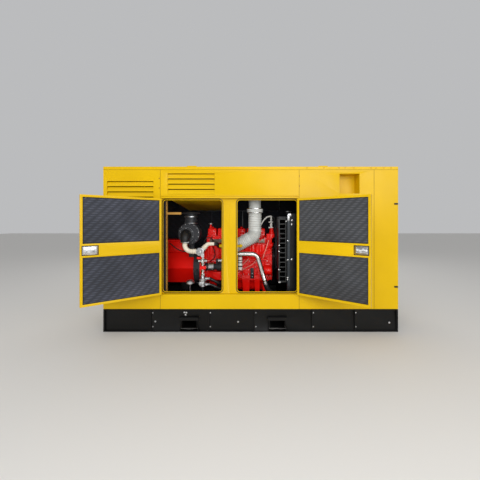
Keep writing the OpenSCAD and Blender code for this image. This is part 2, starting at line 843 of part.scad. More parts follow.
// Keeps the belt's straight chords off the round wheels
belt_gap = 1.5;
idler = [-150, 905];
wheels = [[0, crank_z, 92], [0, fan_z, 56], [idler[0], idler[1], 38]];
module pulley(w) {
    rod_x(belt_x - 16, belt_x + 16, w[0], w[1], w[2]);
    rod_x(belt_x - 19, belt_x - 15, w[0], w[1], w[2] + 9);
}
// Direction of the outward normal of the belt's straight run from one wheel to the next
function run_normal(p, q) = let (d = [q[0] - p[0], q[1] - p[1]])
    atan2(d[1], d[0]) - acos((p[2] - q[2]) / norm(d));
function belt_arc(k, grow) = let (w = wheels[k], a0 = run_normal(wheels[(k + 2) % 3], w),
    a1 = run_normal(w, wheels[(k + 1) % 3]), sweep = (a1 - a0 + 720) % 360)
    [for (i = [0 : 8]) let (a = a0 + sweep * i / 8)
        [w[0] + (w[2] + grow) * cos(a), w[1] + (w[2] + grow) * sin(a)]];
module belt_outline(grow) {
    polygon([for (k = [0 : 2]) each belt_arc(k, grow)]);
}
module belt_drive() color("#232323") {
    x = block_r + 57;
    pulley(wheels[0]);
    pulley(wheels[2]);
    rod_x(x, belt_x - 15, 0, crank_z, 40);
    rod_x(block_r + 50, belt_x - 15, idler[0], idler[1], 14);
    bar_x(belt_x - 13, belt_x + 13) difference() {
        belt_outline(belt_t + belt_gap);
        belt_outline(belt_gap);
    }
}

// Axial fan: hub, hub plate and twisted blades, in one solid
module fan() color("#3b3c3e") {
    hub = 78;
    tip = fan_d / 2;
    difference() {
        union() {
            rod_x(fan_x - 28, fan_x + 22, 0, fan_z, hub);
            rod_x(belt_x - 16, fan_x - 27, 0, fan_z, 44);
            rod_x(belt_x - 16, belt_x + 16, 0, fan_z, wheels[1][2]);
            for (k = [0 : fan_blades - 1])
                translate([fan_x, 0, fan_z]) rotate([k * 360 / fan_blades, 0, 0])
                    rotate([0, 0, 32]) translate([-2.5, -56, hub - 22])
                        cube([5, 112, tip - hub + 10]);
        }
        rod_x(belt_x - 17, fan_x - 20, 0, fan_z, shaft_r + shaft_gap);
    }
}

// Wire guard between the engine and the fan
module fan_guard() color("#303030") {
    x = fan_x - 47;
    bar = 6;
    for (r = [120 : 50 : 370])
        translate([x - bar / 2, 0, fan_z]) difference() {
            rotate([0, 90, 0]) cylinder(h = bar, r = r + bar / 2);
            translate([-1, 0, 0]) rotate([0, 90, 0]) cylinder(h = bar + 2, r = r - bar / 2);
        }
    for (a = [0 : 45 : 315])
        translate([x, 0, fan_z]) rotate([a, 0, 0]) translate([-2, -3, 118]) cube([4, 6, 254]);
    for (a = [45 : 90 : 315])
        translate([x, 0, fan_z]) rotate([a, 0, 0]) translate([-2, -8, 366]) cube([12, 16, 50]);
}

// Finned core between its tanks
module radiator_core() color("#1c1c1d") {
    difference() {
        block([rad_l + 12, -rad_w / 2 + 40, rad_z0 + 70], [rad_r - 12, rad_w / 2 - 40, rad_z1 - 90]);
        for (k = [0 : 17])
            block([rad_l + 11, -rad_w / 2 + 80, rad_z0 + 90 + k * 44],
                  [rad_l + 24, rad_w / 2 - 80, rad_z0 + 100 + k * 44]);
    }
}

// Channel-shaped side members, tanks, feet and the slotted fan shroud
module radiator_frame() color("#202123") {
    w = rad_w / 2;
    block([rad_l, -w + 40 - e, rad_z1 - 90], [rad_r, w - 40 + e, rad_z1]);
    block([rad_l, -w + 40 - e, rad_z0], [rad_r, w - 40 + e, rad_z0 + 70]);
    for (s = [0, 1]) mirror([0, s, 0]) {
        block([rad_l, -w, base_h + 60], [rad_l + 44, -w + 40, rad_z1 + 10]);
        block([rad_l + 44 - e, -w + 30, base_h + 60], [rad_r, -w + 40, rad_z1 + 10]);
    }
    shroud();
    rod_z(rad_z1 - 1, rad_z1 + 40, (rad_l + rad_r) / 2, -200, 34);
    rod_z(rad_z1 + 39, rad_z1 + 56, (rad_l + rad_r) / 2, -200, 44);
}

// Square shroud with a round hole for the fan and rungs on its near side
module shroud() {
    x0 = fan_x - 37;
    x1 = rad_l + 1;
    w = 520;
    z0 = rad_z0 + 30;
    z1 = rad_z1 - 30;
    t = 4;
    rung = 65;
    difference() {
        block([x0, -w, z0], [x1, w, z1]);
        block([x0 + t, -w + t, z0 + t], [x1 + 1, w - t, z1 - t]);
        rod_x(x0 - 1, x0 + t + 1, 0, fan_z, fan_d / 2 + 18);
        for (k = [0 : 12]) block([x0 + 16, -w - 1, z0 + 24 + k * rung],
                                 [x1 - 20, -w + t + 1, z0 + 76 + k * rung]);
    }
}

// Air and gas train

module air_cleaner() color("#26272a") {
    x = filter_x;
    z = filter_z;
    rod_y(filter_front + 29, filter_rear, x, z, filter_r - 8);
    rod_y(filter_front + 8, filter_front + 30, x, z, filter_r);
    rod_y(filter_front, filter_front + 9, x, z, filter_r - 10);
    // Inlet stack and its hat
    rod_z(z + 100, 1524, x + 9, filter_mid, 86);
    rod_z(1523, 1548, x + 9, filter_mid, 132);
    rod_z(z + 146, z + 164, x + 9, filter_mid, 93);
    rod_y(filter_front - 14, filter_front + 1, boss_x, boss_z, boss_r);
    // Bracket down to the alternator's sloping side
    bar_x(x - 50, x + 30) polygon([[filter_rear - 1, alt_slope(filter_rear - 1)],
        [filter_rear + 8, alt_slope(filter_rear + 8)], [filter_rear + 8, z + 70], [filter_rear - 1, z + 70]]);
}
// Height of the alternator's sloping side at a place across it
function alt_slope(y) = crank_z + sqrt(3) * (alternator_r - abs(y));

// Reducing rubber elbow on the cleaner's outlet
elbow_x = boss_x;
elbow_y = filter_front - 14;
module air_elbow() color("#17181a") {
    y = elbow_y;
    z = boss_z;
    rod_y(y - 14, y, elbow_x, z, 74);
    translate([elbow_x, y - 12, z - 66]) rotate([90, 0, 90]) rotate([0, 0, 90])
        rotate_extrude(angle = 90) translate([66, 0]) circle(r = 62);
    rod_z(z - 104, z - 64, elbow_x, tube_y, 64);
}

// Bent metal tubes that carry air to the mixer and mixture from it
tube_r = 30;
tube_y = elbow_y - 12 - 66;
hose_r = 24;
module mixture_tubes() color("#d9d3c4") {
    z0 = boss_z - 104;
    run = 90;
    rod_z(mixer_z + run - 1, z0, elbow_x, tube_y, tube_r);
    rod_z(mixer_z + run - 2, mixer_z + run + 3, elbow_x, tube_y, tube_r + 2);
    translate([elbow_x, tube_y, mixer_z + run]) bend(90, run, tube_r);
    rod_x(elbow_x + run - 3, elbow_x + run + 2, tube_y, mixer_z, tube_r + 2);
    rod_x(elbow_x + run - 1, mixer_x - 56, tube_y, mixer_z, tube_r);
    // Mixture pipe, up at 45 degrees and then level
    k = 60 + 84;
    translate([mixer_x, tube_y, mixer_z]) rotate([0, 45, 0]) translate([0, 0, 60])
        cylinder(h = k - 60, r = 29);
    translate([mixer_x, tube_y, mixer_z]) rotate([0, 45, 0]) translate([0, 0, 66])
        cylinder(h = 16, r = 36);
    translate([mixer_x + k / sqrt(2), tube_y, mixer_z + k / sqrt(2)]) sphere(r = 30);
    rod_x(mixer_x + k / sqrt(2), charge_x, tube_y, mixer_z + k / sqrt(2), 24);
}
// Black hose from the mixture pipe to the turbocharger behind the pillar
module charge_hose() color("#17181a") {
    swept([[charge_x, tube_y, charge_z], [charge_x + 10, tube_y, charge_z], [-476, -484, charge_z], [-464, -471, 1108], [-458, -448, 1102],
           [-458, -402, 1078], [-452, -381, 1070], [-438, -366, turbo_z + 1], [-428, exhaust_y, turbo_z],
           [-416, exhaust_y, turbo_z]],
          hose_r, 12);
}
charge_x = -500;
charge_z = mixer_z + 144 / sqrt(2);

module gas_mixer() color("#d2d4d8") {
    translate([mixer_x, tube_y + 52, mixer_z]) rotate([90, 0, 0]) rotate([0, 0, 22.5])
        cylinder(h = 104, r = 56, $fn = 8);
    translate([mixer_x, tube_y, mixer_z]) rotate([0, 45, 0]) cylinder(h = 60, r = 40);
    rod_x(mixer_x - 56, mixer_x, tube_y, mixer_z, 40);
    rod_y(tube_y - 62, tube_y - 50, mixer_x, mixer_z, 40);
    rod_y(tube_y - 68, tube_y - 60, mixer_x, mixer_z, 22);
    block([gas_x - 20, tube_y - 16, mixer_z - 78], [gas_x + 20, tube_y + 16, mixer_z - 30]);
}

// Gas pipe down from the mixer, with its valve and flanges
gas_x = mixer_x + 30;
module gas_line() color("#c9ccd0") {
    y = tube_y;
    rod_z(700, mixer_z - 78, gas_x, y, 15);
    rod_z(880, 922, gas_x, y, 27);
    rod_x(gas_x - 46, gas_x + 52, y, 894, 19);
    rod_y(y - 44, y, gas_x, 900, 9);
    block([gas_x - 4, y - 50, 892], [gas_x + 76, y - 43, 910]);
    for (z = [742, 800, 846]) rod_z(z, z + 10, gas_x, y, 32);
    rod_z(751, 801, gas_x, y, 24);
}

module gas_filter() color("#b9bcc0") {
    y = tube_y;
    rod_z(530, 662, gas_x, y, 50);
    rod_z(661, 700, gas_x, y, 34);
    rod_z(518, 531, gas_x, y, 40);
    rod_z(base_h + 7, 519, gas_x, y, 14);
    rod_z(base_h, base_h + 8, gas_x, y, 46);
    rod_x(gas_x + 40, gas_x + 84, y, 640, 14);
    rod_x(gas_x + 40, gas_x + 84, y, 560, 14);
}

// Domed regulator on its own stand
module gas_regulator() color("#c0c2c6") {
    x = -836;
    y = -480;
    rod_z(base_h, base_h + 8, x, y, 45);
    rod_z(base_h + 8 - e, 566, x, y, 13);
    rod_z(556, 572, x, y, 34);
    rod_z(572 - e, 588, x, y, 62);
    difference() {
        translate([x, y, 560]) sphere(r = 66);
        block([x - 80, y - 80, 480], [x + 80, y + 80, 588 - e]);
    }
}

module coolant_pipe() color("#c9ccd0") {
    r = coolant_r;
    turn = 50;
    rod_x(coolant_x + turn, coolant_turn, coolant_y, coolant_z, r);
    rod_x(coolant_turn - 2, coolant_turn + 2, coolant_y, coolant_z, r + 1.5);
    translate([coolant_turn, coolant_y, coolant_z - coolant_bend]) rotate([90, 0, 0])
        rotate([0, 0, coolant_tilt]) rotate_extrude(angle = 90 - coolant_tilt)
            translate([coolant_bend, 0]) circle(r = r);
    translate(coolant_start) rotate([0, 180 - coolant_tilt, 0]) translate([0, 0, -1])
        cylinder(h = coolant_run + 1, r = r);
    translate(coolant_start) rotate([0, 180 - coolant_tilt, 0]) translate([0, 0, -2])
        cylinder(h = 4, r = r + 1.5);
    // Turned in to the block behind the pillar
    rod_x(coolant_x + turn - 2, coolant_x + turn + 2, coolant_y, coolant_z, r + 1.5);
    translate([coolant_x + turn, coolant_y + turn, coolant_z]) rotate([0, 0, 180])
        rotate_extrude(angle = 90) translate([turn, 0]) circle(r = r);
    rod_y(coolant_y + turn - 2, coolant_y + turn + 2, coolant_x, coolant_z, r + 1.5);
    rod_y(coolant_y + turn, coolant_port, coolant_x, coolant_z, r);
}
coolant_r = 31;
coolant_turn = 14;
coolant_bend = 95;
coolant_tilt = 16;
coolant_run = 330;
coolant_start = [coolant_turn + coolant_bend * cos(coolant_tilt), coolant_y,
    coolant_z - coolant_bend + coolant_bend * sin(coolant_tilt)];
module coolant_hose() color("#1a1a1a") {
    dir = [sin(coolant_tilt), 0, -cos(coolant_tilt)];
    p = coolant_start + coolant_run * dir;
    swept([p, p + 60 * dir, p + 110 * dir + [6, 8, 0], p + 150 * dir + [26, 20, 0],
           [330, -460, 425], [440, -455, 420], [rad_l + 15, -450, 425], [rad_l + 34, -450, 450],
           [rad_l + 40, -450, 500], [rad_l + 40, -450, rad_z0]], coolant_r + 4, 12);
}

// Turbocharger behind the pillar: compressor, bearing housing and turbine
module turbocharger() color("#8d8a86") {
    y = exhaust_y;
    z = turbo_z;
    rod_x(-416, -404, y, z, 44);
    rod_x(-405, -365, y, z, 86);
    rod_x(-366, -299, y, z, 40);
    rod_x(-300, turbine_x, y, z, 80);
    // Turbine inlet from the manifold
    rod_y(y, -234, -265, head_z + 30, 30);
    rod_y(-236, -214, -265, head_z + 49, 40);
    block([block_l + 60, -250, head_z + 24], [block_r - 60, -214, head_z + 74]);
}

// Wrapped pipe from the turbine, up to the silencer over the ceiling
module exhaust_pipe() color("#cfd2d0") {
    y = exhaust_y;
    r = exhaust_r;
    top = silencer_z - reach_up;
    rod_z(elbow_z - 3, 1545, exhaust_x, y, r);
    rod_z(elbow_z - 5, elbow_z + 2, exhaust_x, y, r + 3);
    rod_z(1540, 1610, exhaust_x, y, r + 20);
    rod_z(1600, top, exhaust_x, y, r - 8);
    translate([exhaust_x - exhaust_bend, y, elbow_z]) rotate([90, 0, 0]) rotate([0, 0, -exhaust_turn])
        rotate_extrude(angle = exhaust_turn) translate([exhaust_bend, 0]) circle(r = r);
    // Straight length that slants down to the turbine
    difference() {
        translate([exhaust_x - exhaust_bend, y, elbow_z]) rotate([0, exhaust_turn, 0])
            translate([exhaust_bend, 0, 0]) rotate([180, 0, 0]) translate([0, 0, -3]) union() {
                cylinder(h = 330, r = r);
                cylinder(h = 6, r = r + 3);
            }
        block([turbine_x - 400, y - 200, turbo_z - 400], [turbine_x, y + 200, turbo_z + 300]);
    }
    // Top bend towards the silencer
    rod_z(top - 3, top + 3, exhaust_x, y, r - 5);
    translate([exhaust_x, y + reach_up, top]) rotate([90, 0, 90]) rotate([0, 0, 90])
        rotate_extrude(angle = 90) translate([reach_up, 0]) circle(r = r - 8);
    rod_y(y + reach_up - 3, y + reach_up + 3, exhaust_x, silencer_z, r - 5);
    rod_y(y + reach_up, silencer_port, exhaust_x, silencer_z, r - 8);
}
// Radius of the exhaust's top bend
reach_up = 110;

// Silencer over the engine, with its outlet through the roof
module exhaust_silencer() color("#cfd2d0") {
    difference() {
        union() {
            rod_x(-60, 1330, 0, silencer_z, silencer_r);
            rod_y(silencer_port, 0, exhaust_x, silencer_z, exhaust_r + 8);
            for (x = [140, 1000]) block([x - 30, -20, silencer_z + silencer_r - 10], [x + 30, 20, top_z - sheet - lining_t]);
            rod_z(silencer_z, top_z + 90, outlet_x, 0, outlet_r);
        }
        rod_z(top_z - 60, top_z + 91, outlet_x, 0, outlet_r - 4);
    }
}

skid_rails();
skid_deck();
forklift_pockets();
engine_bearers();
front_panel_left();
front_header();
front_sill();
front_panel_right();
corner_panel_right();
door_surround_left();
door_surround_right();
front_louvres();
wall_recess();
door_seals();
hinge_knuckles();
corner_fittings();
rear_panels();
rear_door_frame();
rear_doors();
end_wall_left();
end_wall_right();
end_louvres();
roof();
roof_baffle();
inner_frame();
wall_linings();
door_left();
door_left_pads();
door_left_lock();
door_right();
door_right_pads();
door_right_lock();
alternator();
terminal_box();
coupling_ring();
engine_block();
cylinder_head();
rocker_covers();
oil_pan();
timing_cover();
starter_motor();
thermostat_housing();
belt_drive();
fan();
fan_guard();
radiator_core();
radiator_frame();
air_cleaner();
air_elbow();
mixture_tubes();
gas_mixer();
gas_line();
gas_filter();
gas_regulator();
coolant_pipe();
coolant_hose();
turbocharger();
exhaust_pipe();
charge_hose();
exhaust_silencer();
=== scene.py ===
"""Enclosed gas generator set, dressed over its CAD frame. Metres, +Z up, front towards -Y."""
import json
import math
import random

import bmesh
import bpy
from mathutils import Matrix, Vector

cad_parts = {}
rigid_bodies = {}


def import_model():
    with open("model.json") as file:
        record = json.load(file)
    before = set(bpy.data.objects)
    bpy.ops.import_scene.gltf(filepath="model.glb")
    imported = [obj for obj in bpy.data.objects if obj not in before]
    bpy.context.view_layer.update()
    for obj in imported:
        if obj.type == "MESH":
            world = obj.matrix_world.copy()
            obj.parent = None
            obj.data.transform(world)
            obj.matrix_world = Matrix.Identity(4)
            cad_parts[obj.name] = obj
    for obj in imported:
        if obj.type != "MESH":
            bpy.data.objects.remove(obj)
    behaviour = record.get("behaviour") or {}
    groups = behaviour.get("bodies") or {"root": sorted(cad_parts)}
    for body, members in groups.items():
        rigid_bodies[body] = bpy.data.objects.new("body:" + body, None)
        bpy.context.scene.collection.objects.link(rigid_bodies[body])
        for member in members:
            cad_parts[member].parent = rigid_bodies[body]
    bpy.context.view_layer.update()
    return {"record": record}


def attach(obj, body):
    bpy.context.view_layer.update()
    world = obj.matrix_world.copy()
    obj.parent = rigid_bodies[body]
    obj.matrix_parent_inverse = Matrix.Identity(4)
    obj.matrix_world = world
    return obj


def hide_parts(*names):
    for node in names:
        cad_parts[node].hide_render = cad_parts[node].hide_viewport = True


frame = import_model()

MM = 0.001
random.seed(7)


# Camera, from the photograph's own vanishing point

PHOTO = 480
FOCAL_PX = 274
HORIZON_PX = 222
CENTRE_PX = 252

camera = bpy.data.objects.new("camera", bpy.data.cameras.new("camera"))
bpy.context.scene.collection.objects.link(camera)
camera.data.sensor_width = 36
camera.data.lens = 36 * FOCAL_PX / PHOTO
camera.data.shift_x = (PHOTO / 2 - CENTRE_PX) / PHOTO
camera.data.shift_y = (HORIZON_PX - PHOTO / 2) / PHOTO
camera.location = (0.017, -4.255, 1.416)
camera.rotation_euler = (math.radians(90), 0, 0)
bpy.context.scene.camera = camera


# Mesh helpers

def finish_mesh(name, bm, body, material, smooth=None, replaces=()):
    """Turn a bmesh into a finished piece that rides on a body."""
    bmesh.ops.recalc_face_normals(bm, faces=bm.faces)
    mesh = bpy.data.meshes.new(name)
    bm.to_mesh(mesh)
    bm.free()
    piece = bpy.data.objects.new(name, mesh)
    bpy.context.scene.collection.objects.link(piece)
    mesh.materials.append(material)
    if smooth is not None:
        mesh.shade_smooth()
        mesh.set_sharp_from_angle(angle=math.radians(smooth))
    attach(piece, body)
    if replaces:
        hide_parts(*replaces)
    return piece


def add_box(bm, a, b, bevel=0.0, segments=2):
    """A box between two corners, with its edges rounded."""
    a, b = Vector(a), Vector(b)
    made = bmesh.ops.create_cube(bm, size=1.0)
    verts = made["verts"]
    bmesh.ops.scale(bm, vec=b - a, verts=verts)
    bmesh.ops.translate(bm, vec=(a + b) / 2, verts=verts)
    if bevel:
        edges = list({e for v in verts for e in v.link_edges})
        bmesh.ops.bevel(bm, geom=edges, offset=bevel, segments=segments, profile=0.5,
                        affect="EDGES", material=-1, clamp_overlap=True)
    return verts


def add_rod(bm, start, end, r, r_end=None, sides=24, bevel=0.0):
    """A round bar between two points, with its rims rounded."""
    start, end = Vector(start), Vector(end)
    along = end - start
    turn = along.to_track_quat("Z", "Y").to_matrix().to_4x4()
    made = bmesh.ops.create_cone(
        bm, cap_ends=True, segments=sides, radius1=r, radius2=r if r_end is None else r_end,
        depth=along.length, matrix=Matrix.Translation((start + end) / 2) @ turn)
    if bevel:
        caps = {f for v in made["verts"] for f in v.link_faces if len(f.verts) == sides}
        edges = list({e for f in caps for e in f.edges})
        bmesh.ops.bevel(bm, geom=edges, offset=bevel, segments=2, profile=0.5,
                        affect="EDGES", material=-1, clamp_overlap=True)
    return made["verts"]


def add_turned(bm, profile, centre, axis, sides=32):
    """A turned shape from (distance along, radius) points about an axis."""
    centre = Vector(centre)
    turn = Vector(axis).to_track_quat("Z", "Y").to_matrix().to_4x4()
    verts = [bm.verts.new((r, 0, z)) for z, r in profile]
    edges = [bm.edges.new((a, b)) for a, b in zip(verts, verts[1:])]
    made = bmesh.ops.spin(bm, geom=verts + edges, angle=math.tau, steps=sides, use_merge=True,
                          axis=(0, 0, 1), cent=(0, 0, 0))
    ring = {g for g in made["geom_last"] if isinstance(g, bmesh.types.BMVert)}
    linked = set(verts) | ring
    stack = list(linked)
    while stack:
        v = stack.pop()
        for e in v.link_edges:
            o = e.other_vert(v)
            if o not in linked:
                linked.add(o)
                stack.append(o)
    linked = [v for v in linked if v.is_valid]
    bmesh.ops.remove_doubles(bm, verts=linked, dist=1e-6)
    linked = [v for v in linked if v.is_valid]
    bmesh.ops.transform(bm, matrix=Matrix.Translation(centre) @ turn, verts=linked)
    return linked


def tube_curve(name, points, r, body, material, cyclic=False, replaces=(), sides=5):
    """A smooth tube along given points, made a mesh."""
    data = bpy.data.curves.new(name, "CURVE")
    data.dimensions = "3D"
    data.bevel_depth = r
    data.bevel_resolution = sides
    data.use_fill_caps = True
    line = data.splines.new("NURBS")
    line.points.add(len(points) - 1)
    for point, place in zip(line.points, points):
        point.co = (*place, 1)
    line.order_u = 3
    line.use_endpoint_u = True
    line.use_cyclic_u = cyclic
    line.resolution_u = 6
    curve = bpy.data.objects.new(name + "_line", data)
    bpy.context.scene.collection.objects.link(curve)
    mesh = bpy.data.meshes.new_from_object(curve.evaluated_get(bpy.context.evaluated_depsgraph_get()))
    bpy.data.objects.remove(curve)
    piece = bpy.data.objects.new(name, mesh)
    bpy.context.scene.collection.objects.link(piece)
    mesh.materials.clear()
    mesh.materials.append(material)
    mesh.shade_smooth()
    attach(piece, body)
    if replaces:
        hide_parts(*replaces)
    return piece


# Material helpers

def linear(code):
    """An sRGB hex colour as linear RGBA."""
    code = code.lstrip("#")
    channels = [int(code[i:i + 2], 16) / 255 for i in (0, 2, 4)]
    return tuple(c / 12.92 if c <= 0.04045 else ((c + 0.055) / 1.055) ** 2.4 for c in channels) + (1,)


def node(tree, kind, links=None, **settings):
    """Add a shader node, set its values and link its inputs."""
    made = tree.nodes.new("ShaderNode" + kind)
    for key, value in settings.items():
        if key.startswith("in_"):
            made.inputs[int(key[3:]) if key[3:].isdigit() else key[3:].replace("_",
                                                                               " ")].default_value = value
        else:
            setattr(made, key, value)
    for key, source in (links or {}).items():
        tree.links.new(source, made.inputs[key])
    return made


def new_material(name):
    material = bpy.data.materials.new(name)
    material.use_nodes = True
    tree = material.node_tree
    shader = tree.nodes["Principled BSDF"]
    place = node(tree, "TexCoord").outputs["Object"]
    return material, tree, shader, place


def enamel(name, hex_colour, dark_hex, roughness, grain_mm=1.2, bump=0.08, dust=0.12, coat=0.0,
           gloss=0.3):
    """Sprayed paint: a faint orange peel, a little dust and slow changes of tone."""
    material, tree, shader, place = new_material(name)
    slow = node(tree, "TexNoise", {"Vector": place}, in_Scale=2.2, in_Detail=3.0)
    tone = node(tree, "ValToRGB", {"Fac": slow.outputs["Fac"]})
    tone.color_ramp.elements[0].position = 0.3
    tone.color_ramp.elements[1].position = 0.72
    tone.color_ramp.elements[0].color = linear(dark_hex)
    tone.color_ramp.elements[1].color = linear(hex_colour)
    tree.links.new(tone.outputs["Color"], shader.inputs["Base Color"])
    smudge = node(tree, "TexNoise", {"Vector": place}, in_Scale=9.0, in_Detail=5.0)
    rough = node(tree, "MapRange", {"Value": smudge.outputs["Fac"]}, in_3=roughness - dust / 2,
                 in_4=roughness + dust)
    tree.links.new(rough.outputs["Result"], shader.inputs["Roughness"])
    peel = node(tree, "TexNoise", {"Vector": place}, in_Scale=1000 / grain_mm / 6, in_Detail=2.0)
    lump = node(tree, "Bump", {"Height": peel.outputs["Fac"]}, in_Strength=bump, in_Distance=0.0004)
    tree.links.new(lump.outputs["Normal"], shader.inputs["Normal"])
    shader.inputs["Coat Weight"].default_value = coat
    shader.inputs["Coat Roughness"].default_value = 0.12
    shader.inputs["Specular IOR Level"].default_value = gloss
    return material


def bare_metal(name, hex_colour, dark_hex, roughness, streak_mm=0.8, bump=0.15):
    """Bare steel or cast metal: uneven gloss with fine scratches or casting grain."""
    material, tree, shader, place = new_material(name)
    shader.inputs["Metallic"].default_value = 1.0
    mottle = node(tree, "TexNoise", {"Vector": place}, in_Scale=26.0, in_Detail=4.0)
    tone = node(tree, "ValToRGB", {"Fac": mottle.outputs["Fac"]})
    tone.color_ramp.elements[0].color = linear(dark_hex)
    tone.color_ramp.elements[1].color = linear(hex_colour)
    tone.color_ramp.elements[0].position = 0.25
    tone.color_ramp.elements[1].position = 0.6
    tree.links.new(tone.outputs["Color"], shader.inputs["Base Color"])
    fine = node(tree, "TexNoise", {"Vector": place}, in_Scale=1000 / streak_mm / 5, in_Detail=3.0)
    rough = node(tree, "MapRange", {"Value": fine.outputs["Fac"]}, in_3=roughness * 0.7, in_4=roughness * 1.4)
    tree.links.new(rough.outputs["Result"], shader.inputs["Roughness"])
    lump = node(tree, "Bump", {"Height": fine.outputs["Fac"]}, in_Strength=bump, in_Distance=0.0005)
    tree.links.new(lump.outputs["Normal"], shader.inputs["Normal"])
    return material


def moulded(name, hex_colour, dark_hex, roughness, grain_mm=2.0, bump=0.2):
    """Moulded rubber or plastic: fine skin grain, dusty in patches."""
    material, tree, shader, place = new_material(name)
    dust = node(tree, "TexNoise", {"Vector": place}, in_Scale=14.0, in_Detail=4.0)
    tone = node(tree, "ValToRGB", {"Fac": dust.outputs["Fac"]})
    tone.color_ramp.elements[0].color = linear(dark_hex)
    tone.color_ramp.elements[1].color = linear(hex_colour)
    tree.links.new(tone.outputs["Color"], shader.inputs["Base Color"])
    fine = node(tree, "TexNoise", {"Vector": place}, in_Scale=1000 / grain_mm / 5, in_Detail=2.0)
    rough = node(tree, "MapRange", {"Value": fine.outputs["Fac"]}, in_3=roughness - 0.08,
                 in_4=roughness + 0.1)
    tree.links.new(rough.outputs["Result"], shader.inputs["Roughness"])
    lump = node(tree, "Bump", {"Height": fine.outputs["Fac"]}, in_Strength=bump, in_Distance=0.0004)
    tree.links.new(lump.outputs["Normal"], shader.inputs["Normal"])
    return material


def quilted_foam(name, hex_colour, dark_hex, thread_mm, turn=(0, 0, 0)):
    """Acoustic facing cloth: diagonal twill drawn coarse enough to show, with soft fading."""
    material, tree, shader, place = new_material(name)
    cloud = node(tree, "TexNoise", {"Vector": place}, in_Scale=3.0, in_Detail=3.0)
    tone = node(tree, "ValToRGB", {"Fac": cloud.outputs["Fac"]})
    tone.color_ramp.elements[0].color = linear(dark_hex)
    tone.color_ramp.elements[1].color = linear(hex_colour)
    tone.color_ramp.elements[0].position = 0.35
    tone.color_ramp.elements[1].position = 0.65
    turned = node(tree, "Mapping", {"Vector": place}, in_Rotation=turn)
    wave_scale = 1000 / thread_mm / 20
    warp = node(tree, "TexWave", {"Vector": turned.outputs["Vector"]}, bands_direction="DIAGONAL",
                in_Scale=wave_scale, in_Distortion=0.15)
    weft = node(tree, "TexWave", {"Vector": turned.outputs["Vector"]}, bands_direction="Z",
                in_Scale=wave_scale * 1.7, in_Distortion=0.1)
    cross = node(tree, "Math", {0: warp.outputs["Fac"], 1: weft.outputs["Fac"]}, operation="MULTIPLY")
    shade = node(tree, "MapRange", {"Value": cross.outputs["Value"]}, in_3=0.62, in_4=1.45)
    mixed = node(tree, "VectorMath", {0: tone.outputs["Color"], 3: shade.outputs["Result"]},
                 operation="SCALE")
    tree.links.new(mixed.outputs["Vector"], shader.inputs["Base Color"])
    shader.inputs["Roughness"].default_value = 0.82
    shader.inputs["Sheen Weight"].default_value = 0.25
    shader.inputs["Sheen Roughness"].default_value = 0.5
    lump = node(tree, "Bump", {"Height": cross.outputs["Value"]}, in_Strength=0.5, in_Distance=0.0015)
    tree.links.new(lump.outputs["Normal"], shader.inputs["Normal"])
    return material


# Powder-coated sheet steel: even deep yellow, soft gloss
canopy_paint = enamel("powder_coated_sheet", "#d6ae00", "#cfa700", 0.3, gloss=0.22)
# Brushed-on black chassis paint over rolled steel, dusty and dull
chassis_paint = enamel("black_chassis_paint", "#090908", "#050505", 0.4, bump=0.2, dust=0.16, gloss=0.3)
# Gloss red engine enamel, with slow random changes to a darker red
engine_enamel = enamel("red_engine_enamel", "#f2180e", "#d00d06", 0.22, bump=0.3, coat=0.2)
# Satin red enamel on the alternator, flatter than the engine's
alternator_enamel = enamel("red_alternator_enamel", "#e01208", "#c40b05", 0.34, bump=0.1)
# EPDM rubber: black, matt
epdm_rubber = moulded("black_epdm_rubber", "#1b1b1c", "#0e0e0e", 0.5)
# Black coated hinge steel
coated_black = enamel("black_coated_steel", "#222222", "#161616", 0.38, bump=0.15)
# Bracket paint in a dull yellow-brown: the yellow paint darkened as painted shade, for the bracket seen in
# shade
bracket_paint = enamel("tan_bracket_paint", "#b98a3e", "#9a7030", 0.5)
# Black faced foam board
lining_cloth = quilted_foam("black_lining_board", "#1c1f28", "#121319", 9.0)
# Dark grey-blue woven facing on the door pads
pad_cloth_left = quilted_foam("woven_pad_left", "#41444f", "#32353e", 7.0, turn=(0, 0, math.radians(143)))
pad_cloth_right = quilted_foam("woven_pad_right", "#424448", "#353639", 7.0, turn=(0, 0, math.radians(-143)))
# Lock works: bright white zinc and nylon
lock_white = enamel("bright_lock_works", "#eceef0", "#c9ccd0", 0.3)
# Bolt heads on the canopy: bronze, dull from weather
bronze_bolt = bare_metal("bronze_bolt_head", "#a87a3a", "#6d4a20", 0.4)
# Gaps between sheets: painted shade, as dark yellow-brown strips over the seams, with dusty tone changes
seam_shadow = moulded("sheet_gap_painted_shade", "#5c4200", "#3a2a02", 0.7)
# Aluminium trim and sheet edges, dull
dull_trim = bare_metal("dull_aluminium_trim", "#8f9294", "#6c6f72", 0.45)
# Lighter grey strips on the shroud's rails and rungs: painted highlight where their black edges catch the
# light
shroud_edge_highlight = enamel("shroud_edge_painted_highlight", "#3f403e", "#2b2c2b", 0.4)
# Moulded hose and cable jacket: glossy black
gloss_hose = moulded("glossy_black_hose", "#17181a", "#0b0b0c", 0.26)
# White enamel and silicone
white_enamel = enamel("white_enamel", "#e4e3dd", "#cfcdc5", 0.32)
# Nickel-plated small fittings, bright
bright_nickel = bare_metal("nickel_fittings", "#f2f2f0", "#c6c8c9", 0.18)
# Thin red lines drawn in pale salmon pink: painted highlight, standing in for light along red pipes
red_line_painted_highlight = enamel("red_line_painted_highlight", "#f2a595", "#d97f6e", 0.3)
# Blue-grey strip on the radiator's black post: painted highlight where the post catches the light
radiator_post_painted_highlight = enamel("blue_grey_painted_highlight", "#3a4046", "#2c3135", 0.4)
# Zinc-plated pressings and fasteners, softly brushed
zinc_plate = bare_metal("zinc_plated_pressing", "#d9dadc", "#9c9ea1", 0.3)
# Dark grey enamel over iron, a little glossy
dark_iron = enamel("dark_painted_iron", "#303134", "#222326", 0.3, bump=0.25, coat=0.1)
